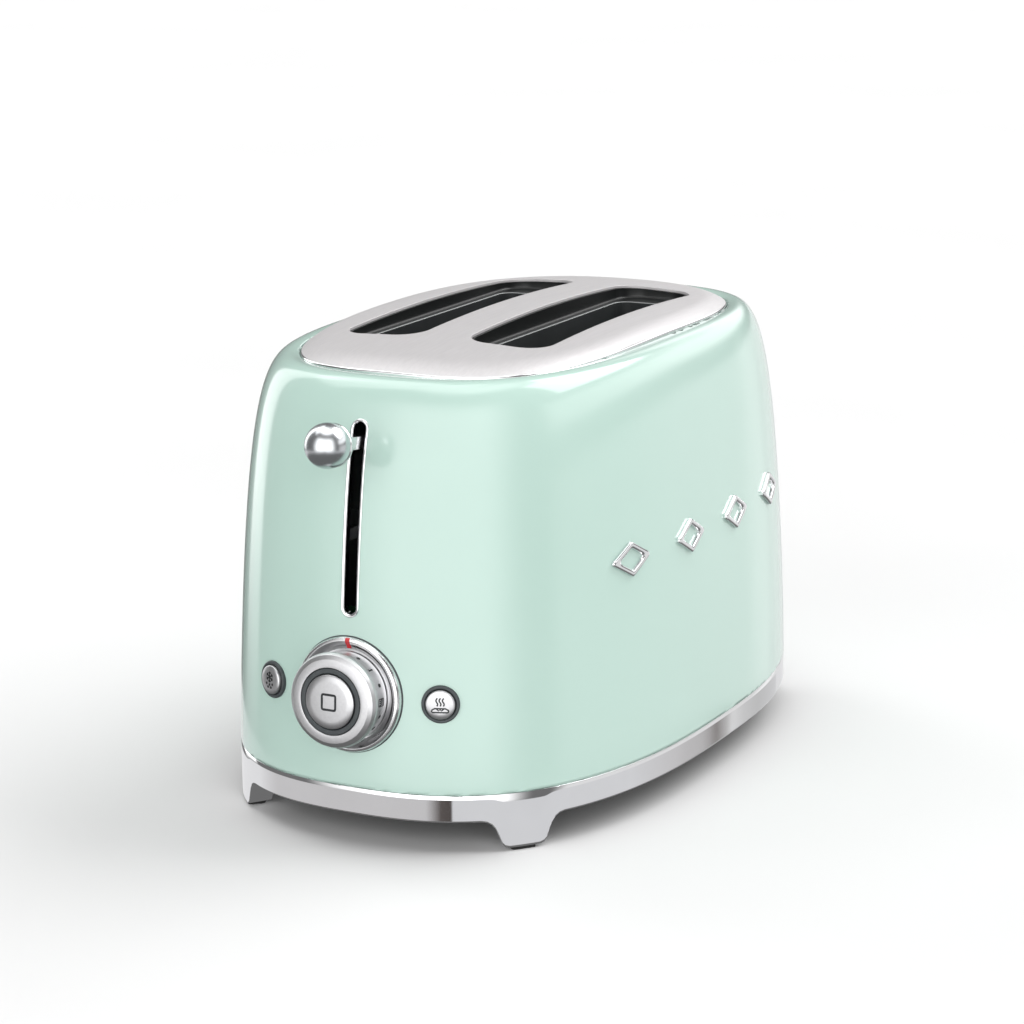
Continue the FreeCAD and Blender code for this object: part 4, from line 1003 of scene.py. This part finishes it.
def push_button(word):
    place = button_place(word)
    ring = [(6.4, -2.9), (7.8, -2.9)]
    ring += soften([(7.8, 0.4), (7.65, 0.8), (7.3, 1.0), (6.75, 1.0), (6.4, 0.75)], 0.2)
    ring += [(6.4, -2.9)]
    piece = lathe("dark_%s_ring" % word, scaled(ring), place, DARK_GREY, "root", 96)
    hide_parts(word + "_ring")
    cap = [(0, BUTTON_FACE), (3.5, BUTTON_FACE - 0.03)]
    rim = ((5.4, 0.12), (5.95, 0.5), (6.1, 1.2))
    cap += soften([(r, BUTTON_FACE - drop) for r, drop in rim], 0.4)
    cap += [(6.1, -3.0), (2.2, -3.0), (2.2, -9.0), (0, -9.0)]
    piece = lathe("satin_%s_cap" % word, scaled(cap), place, SATIN, word + "_key", 96)
    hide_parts(word + "_button")
    return place


def snowflake(place):
    """Six-armed flake over three drops."""
    parts = []
    middle_y = 1.3
    for k in range(6):
        angle = math.radians(90 + 60 * k)
        along = Vector((math.cos(angle), math.sin(angle)))
        across = Vector((-along.y, along.x))
        tip = along * 2.3
        parts.append(stroke([(0, middle_y), (tip.x, tip.y + middle_y)], 0.6))
        for side in (-1, 1):
            fork = along * 1.3
            end = along * 1.95 + across * side * 0.7
            parts.append(stroke([(fork.x, fork.y + middle_y), (end.x, end.y + middle_y)], 0.5))
    for x, y in ((-1.9, -1.6), (0, -1.9), (1.9, -1.6), (-0.95, -3.0), (0.95, -3.0)):
        parts.append(dot(x, y, 0.55))
    printed("defrost_mark", parts, cap_mapping(place, BUTTON_FACE + 0.02), "defrost_key")


def steaming_loaf(place):
    """Bun under three wavy lines."""
    bun = soften([(-3.3, -2.9), (3.3, -2.9), (3.5, -2.0), (2.2, -1.3), (-2.2, -1.3), (-3.5, -2.0)],
                 0.6, 4, True)
    parts = [stroke(bun, 0.6, True)]
    parts.append(stroke([(-1.5, -1.4), (-0.6, -2.2), (0, -1.7), (0.6, -2.2), (1.5, -1.4)], 0.5))
    parts += [stroke(wavy(x, -0.3, 3.0, 0.35), 0.58) for x in (-1.3, 0, 1.3)]
    printed("reheat_mark", parts, cap_mapping(place, BUTTON_FACE + 0.02), "reheat_key")


# ---- badge
BADGE_COUNT = 4
BADGE_SECTION = [(0.0, 0.05), (0.0, 0.9), (0.075, 1.35), (0.225, 1.6), (0.4, 1.66), (0.5, 1.66),
                 (0.71875, 1.6), (0.90625, 1.35), (1.0, 0.9), (1.0, 0.05)]  # share of width, height


def side_badge():
    """Row of plain raised lozenge frames that follow the right side."""
    low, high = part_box("side_badge")
    middle_z = (low.z + high.z) / 2
    half_y, half_z, stroke_width = 13.0 * MM, 7.5 * MM, 2.4 * MM
    first, last = low.y + half_y, high.y - half_y
    reach = math.hypot(half_y, half_z)
    for index in range(BADGE_COUNT):
        middle_y = first + (last - first) * index / (BADGE_COUNT - 1)
        rings = []
        for share, height in BADGE_SECTION:
            inset = share * stroke_width
            hy = half_y - inset * reach / half_z
            hz = half_z - inset * reach / half_y
            outline = soften([(hy, 0), (0, hz), (-hy, 0), (0, -hz)], 1.6 * MM, 5, True)
            rings.append([side_point(middle_y + y, middle_z + z, height * MM)
                          for y, z in fill_in(outline, 1.2 * MM)])
        badge = loft("chrome_lozenge_%d" % (index + 1), rings, POLISHED, "root", closed_loop=True)
        if index == 0:
            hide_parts("side_badge")


def fill_in(outline, step):
    """Divide the long straight runs of a closed outline so that it can follow a curve."""
    dense = []
    for p, q in zip(outline, outline[1:] + outline[:1]):
        parts = 10 if math.dist(p, q) > 3 * step else 1
        dense += [(p[0] + (q[0] - p[0]) * i / parts, p[1] + (q[1] - p[1]) * i / parts)
                  for i in range(parts)]
    return dense


def side_point(y, z, height):
    """Point at a height over the right side."""
    d = 0.5 * MM
    slope_y = (side_x(y + d, z) - side_x(y - d, z)) / (2 * d)
    slope_z = (side_x(y, z + d) - side_x(y, z - d)) / (2 * d)
    normal = Vector((1, -slope_y, -slope_z)).normalized()
    return Vector((side_x(y, z), y, z)) + normal * height


# ---- the rest of the object
def foot_pads():
    for name in ("front_left", "front_right", "rear_left", "rear_right"):
        finish_node(name + "_foot_pad", RUBBER)


def finish_node(name, material):
    """Give a carried-over part its procedural material."""
    piece = nodes[name]
    piece.data.materials.clear()
    piece.data.materials.append(material)


def inner_parts():
    """Procedural materials of every part that keeps its own shape."""
    zinc = brushed_material("zinc_sheet", (0.42, 0.43, 0.44), (0.56, 0.57, 0.58), (0.32, 0.5),
                            (1, 1, 0.2), 160.0, 0.08)
    mica = varied("mica_board", (0.30, 0.25, 0.17), (0.52, 0.46, 0.34), (0.35, 0.6), 0.0, 90.0,
                  (1, 1, 1), 0.15)
    ribbon = brushed_material("heating_ribbon", (0.20, 0.18, 0.16), (0.34, 0.31, 0.28), (0.4, 0.6))
    wire = brushed_material("plated_wire", (0.55, 0.55, 0.56), (0.68, 0.68, 0.69), (0.15, 0.3))
    spring = brushed_material("spring_wire", (0.34, 0.34, 0.35), (0.46, 0.46, 0.47), (0.25, 0.4))
    iron = brushed_material("soft_iron", (0.20, 0.20, 0.21), (0.30, 0.30, 0.31), (0.35, 0.5))
    copper = brushed_material("coil_copper", (0.60, 0.28, 0.14), (0.78, 0.40, 0.22), (0.25, 0.4),
                              (0.2, 0.2, 6), 400.0, 0.3)
    brass = brushed_material("leaf_brass", (0.60, 0.46, 0.20), (0.74, 0.58, 0.30), (0.22, 0.38))
    board = varied("circuit_board", (0.012, 0.09, 0.035), (0.02, 0.13, 0.05), (0.25, 0.4),
                   0.0, 220.0)
    white = varied("white_plastic", (0.62, 0.61, 0.57), (0.70, 0.69, 0.65), (0.4, 0.55), 0.0, 200.0)
    heaters = ("left", "centre", "right")
    groups = [
        (BLACK_PLASTIC, ["base_plate", "cord_gland", "board_components", "button_switches"]),
        (zinc, ["crumb_tray", "front_chassis_plate", "rear_chassis_plate", "left_reflector",
                "right_reflector", "carriage_slider"]),
        (wire, ["base_screws", "guide_rod", "anti_twist_rod", "left_bread_rack", "right_bread_rack"]
         + ["%s_%s_bread_guide" % (side, which) for side in ("left", "right")
            for which in ("outer", "inner")]),
        (white, ["dial_gear", "pot_gear", "terminal_block"]),
        (iron, ["armature_plate", "magnet_core"]), (copper, ["magnet_coil"]),
        (brass, ["contact_blades"]), (board, ["control_board"]), (DARK_GREY, ["potentiometer"]),
        (BRIGHT, ["lever_arm"]), (POLISHED, ["crumb_tray_handle"]),
        (mica, [place + "_heater_board" for place in heaters]),
        (ribbon, [place + "_heater_winding" for place in heaters]),
    ]
    for material, names in groups:
        for name in names:
            finish_node(name, material)
    return_spring(spring)


def return_spring(material):
    """Coil that stretches from the fixed bracket to the carriage."""
    low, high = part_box("return_spring")
    wire = 0.6 * MM
    radius = (high.x - low.x) / 2 - wire
    middle = (low + high) / 2
    turns, per_turn, sides = 14, 28, 10
    around = [2 * math.pi * j / sides for j in range(sides)]
    up = Vector((0, 0, 1))
    rings = []
    for k in range(turns * per_turn + 1):
        angle = 2 * math.pi * k / per_turn
        z = low.z + wire + (high.z - low.z - 2 * wire) * k / (turns * per_turn)
        out = Vector((math.cos(angle), math.sin(angle), 0))
        centre = Vector((middle.x, middle.y, z)) + out * radius
        rings.append([centre + out * wire * math.cos(t) + up * wire * math.sin(t) for t in around])
    coil = loft("stretching_spring", rings, material, "root", caps=True)
    coil.parent = None
    del coil["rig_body"]
    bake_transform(coil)
    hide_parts("return_spring")


# ---- build the object
body_shell()
top_plate()
for side, word in ((-1, "left"), (1, "right")):
    slot_liner(side, word)
base_band()
lever()
slot_trim()
dial()
dial_shadow_ring()
pointer()
dial_marks()
stop_mark()
snowflake(push_button("defrost"))
steaming_loaf(push_button("reheat"))
side_badge()
foot_pads()
inner_parts()


# ---- floor, light and camera
def floor():
    """Pale matt ground far beyond the view."""
    material, tree, main, add = shader("pale_floor")
    colour = ramp(tree, add, noise(tree, add, 3.0, 2.0), (0.66, 0.66, 0.66), (0.68, 0.68, 0.68))
    tree.links.new(colour, main.inputs["Base Color"])
    main.inputs["Roughness"].default_value = 0.9
    main.inputs["Specular IOR Level"].default_value = 0.0
    size = 12.0
    ground = bare_piece("floor", [(-size, -size, 0), (size, -size, 0), (size, size, 0),
                                  (-size, size, 0)], [(0, 1, 2, 3)])
    ground.data.materials.append(material)
    ground.visible_glossy = False


# Soft panels of the studio: (azimuth, half width, lowest and highest elevation, soft edge of
# the elevation, level, soft edge of the azimuth). All angles are in degrees; azimuth 0 is in
# front of the object, 90 on its right and 180 behind it.
AMBIENT = 0.18
SOFTEST = 20                  # widest soft edge of the elevation
PANELS = [(15, 62, -30, 52, 34, 2.25, 34),
          (-107, 14, -18, 62, 12, 2.0, 5),
          (-100, 42, 44, 70, 6, 1.8, 6),
          (140, 36, 30, 64, 4, 5.0, 4),
          (145, 60, 6, 30, 8, 1.5, 12),
          (145, 60, -26, 3, 4, 0.66, 12),
          (167, 7, -40, 8, 4, 0.2, 5),
          (0, 181, 60, 100, 14, 2.2, 14)]
LOW_EDGE = -16.3            # from here down to LOW_END only the band and the feet look
LOW_END = -24.0
LOW_RING = [(-180, (0.80, 0.80, 0.81)), (-95, (0.86, 0.86, 0.87)), (-72, (0.64, 0.63, 0.635)),
            (4, (0.64, 0.63, 0.635)), (14, (0.12, 0.105, 0.10)), (21.4, (0.09, 0.078, 0.074)),
            (21.8, (0.74, 0.745, 0.76)), (128, (0.74, 0.745, 0.76)), (146, (0.62, 0.61, 0.615)),
            (154, (0.52, 0.51, 0.51)), (157.0, (0.14, 0.12, 0.11)), (157.3, (0.8, 0.8, 0.8)),
            (160, (0.66, 0.66, 0.66)), (166, (0.60, 0.60, 0.60)), (180, (0.70, 0.70, 0.71))]


def studio():
    """Plain soft panels round the object, drawn on the world by direction."""
    world = bpy.data.worlds.new("studio")
    bpy.context.scene.world = world
    world.use_nodes = True
    tree = world.node_tree
    tree.nodes.clear()

    def add(kind, **values):
        node = tree.nodes.new(kind)
        for key, value in values.items():
            setattr(node, key, value)
        return node

    def math_node(operation, *inputs):
        node = add("ShaderNodeMath", operation=operation)
        for socket, value in zip(node.inputs, inputs):
            if isinstance(value, (int, float)):
                socket.default_value = value
            else:
                tree.links.new(value, socket)
        return node.outputs[0]

    def edge(value, start, end):
        """0 before start and 1 after end, with a smooth change."""
        node = add("ShaderNodeMapRange", interpolation_type="SMOOTHSTEP")
        node.inputs["From Min"].default_value = start
        node.inputs["From Max"].default_value = end
        tree.links.new(value, node.inputs["Value"])
        return node.outputs["Result"]

    def until(value, start, end):
        """1 before start and 0 after end."""
        return math_node("SUBTRACT", 1.0, edge(value, start, end))

    direction = add("ShaderNodeTexCoord").outputs["Generated"]
    parts = add("ShaderNodeSeparateXYZ")
    tree.links.new(direction, parts.inputs[0])
    degrees = 180 / math.pi
    elevation = math_node("MULTIPLY", math_node("ARCSINE", parts.outputs["Z"]), degrees)
    backwards = math_node("MULTIPLY", parts.outputs["Y"], -1.0)
    azimuth = math_node("MULTIPLY", math_node("ARCTAN2", parts.outputs["X"], backwards), degrees)

    level = None
    for centre, half, low, high, soft, strength, side_soft in PANELS:
        soft = min(soft, SOFTEST)
        away = math_node("SUBTRACT", azimuth, centre)
        away = math_node("ABSOLUTE", math_node("WRAP", away, 180.0, -180.0))
        share = until(away, half - side_soft, half)
        share = math_node("MULTIPLY", share, edge(elevation, low, low + soft))
        share = math_node("MULTIPLY", share, until(elevation, high - soft, high))
        share = math_node("MULTIPLY", share, strength)
        level = share if level is None else math_node("ADD", level, share)
    level = math_node("ADD", level, AMBIENT)

    ring = add("ShaderNodeValToRGB")
    elements = ring.color_ramp.elements
    elements[0].position, elements[1].position = 0.0, 1.0
    for place, _ in LOW_RING[1:-1]:
        elements.new((place + 180) / 360)
    for element, (_, colour) in zip(elements, LOW_RING):
        element.color = (*colour, 1)
    tree.links.new(math_node("DIVIDE", math_node("ADD", azimuth, 180.0), 360.0), ring.inputs["Fac"])
    below = until(elevation, LOW_EDGE - 0.4, LOW_EDGE)
    below = math_node("MULTIPLY", below, edge(elevation, LOW_END - 2, LOW_END))

    mixed = add("ShaderNodeMix", data_type="RGBA")
    tree.links.new(below, mixed.inputs[0])
    tree.links.new(level, mixed.inputs[6])
    tree.links.new(ring.outputs["Color"], mixed.inputs[7])
    light = add("ShaderNodeBackground")
    tree.links.new(mixed.outputs[2], light.inputs["Color"])
    white = add("ShaderNodeBackground")
    white.inputs["Color"].default_value = (1, 1, 1, 1)
    seen = add("ShaderNodeMixShader")
    tree.links.new(add("ShaderNodeLightPath").outputs["Is Camera Ray"], seen.inputs[0])
    tree.links.new(light.outputs[0], seen.inputs[1])
    tree.links.new(white.outputs[0], seen.inputs[2])
    tree.links.new(seen.outputs[0], add("ShaderNodeOutputWorld").inputs["Surface"])


def toward(azimuth, elevation):
    """Unit vector; azimuth 0 points to the front and 90 degrees to the right."""
    return Vector((math.sin(azimuth) * math.cos(elevation),
                   -math.cos(azimuth) * math.cos(elevation), math.sin(elevation)))


def camera():
    """Long lens, a little right of the front and slightly above."""
    azimuth, elevation, distance = math.radians(27.33), math.radians(14.18), 1.349
    yaw, pitch, roll = math.radians(27.55), math.radians(13.77), math.radians(-0.447)
    pivot = Vector((0, MID_Y, 0.095))
    out = toward(azimuth, elevation)
    forward = -toward(yaw, pitch)
    right = forward.cross(Vector((0, 0, 1))).normalized()
    up = right.cross(forward)
    across = right * math.cos(roll) + up * math.sin(roll)
    upright = up * math.cos(roll) - right * math.sin(roll)
    lens = bpy.data.cameras.new("camera")
    lens.sensor_width = 36
    lens.lens = 106.6
    view = bpy.data.objects.new("camera", lens)
    turn = Matrix((across, upright, -forward)).transposed().to_4x4()
    view.matrix_world = Matrix.Translation(pivot + out * distance) @ turn
    bpy.context.scene.collection.objects.link(view)
    bpy.context.scene.camera = view


floor()
studio()
camera()
bpy.context.scene.view_settings.view_transform = "Standard"
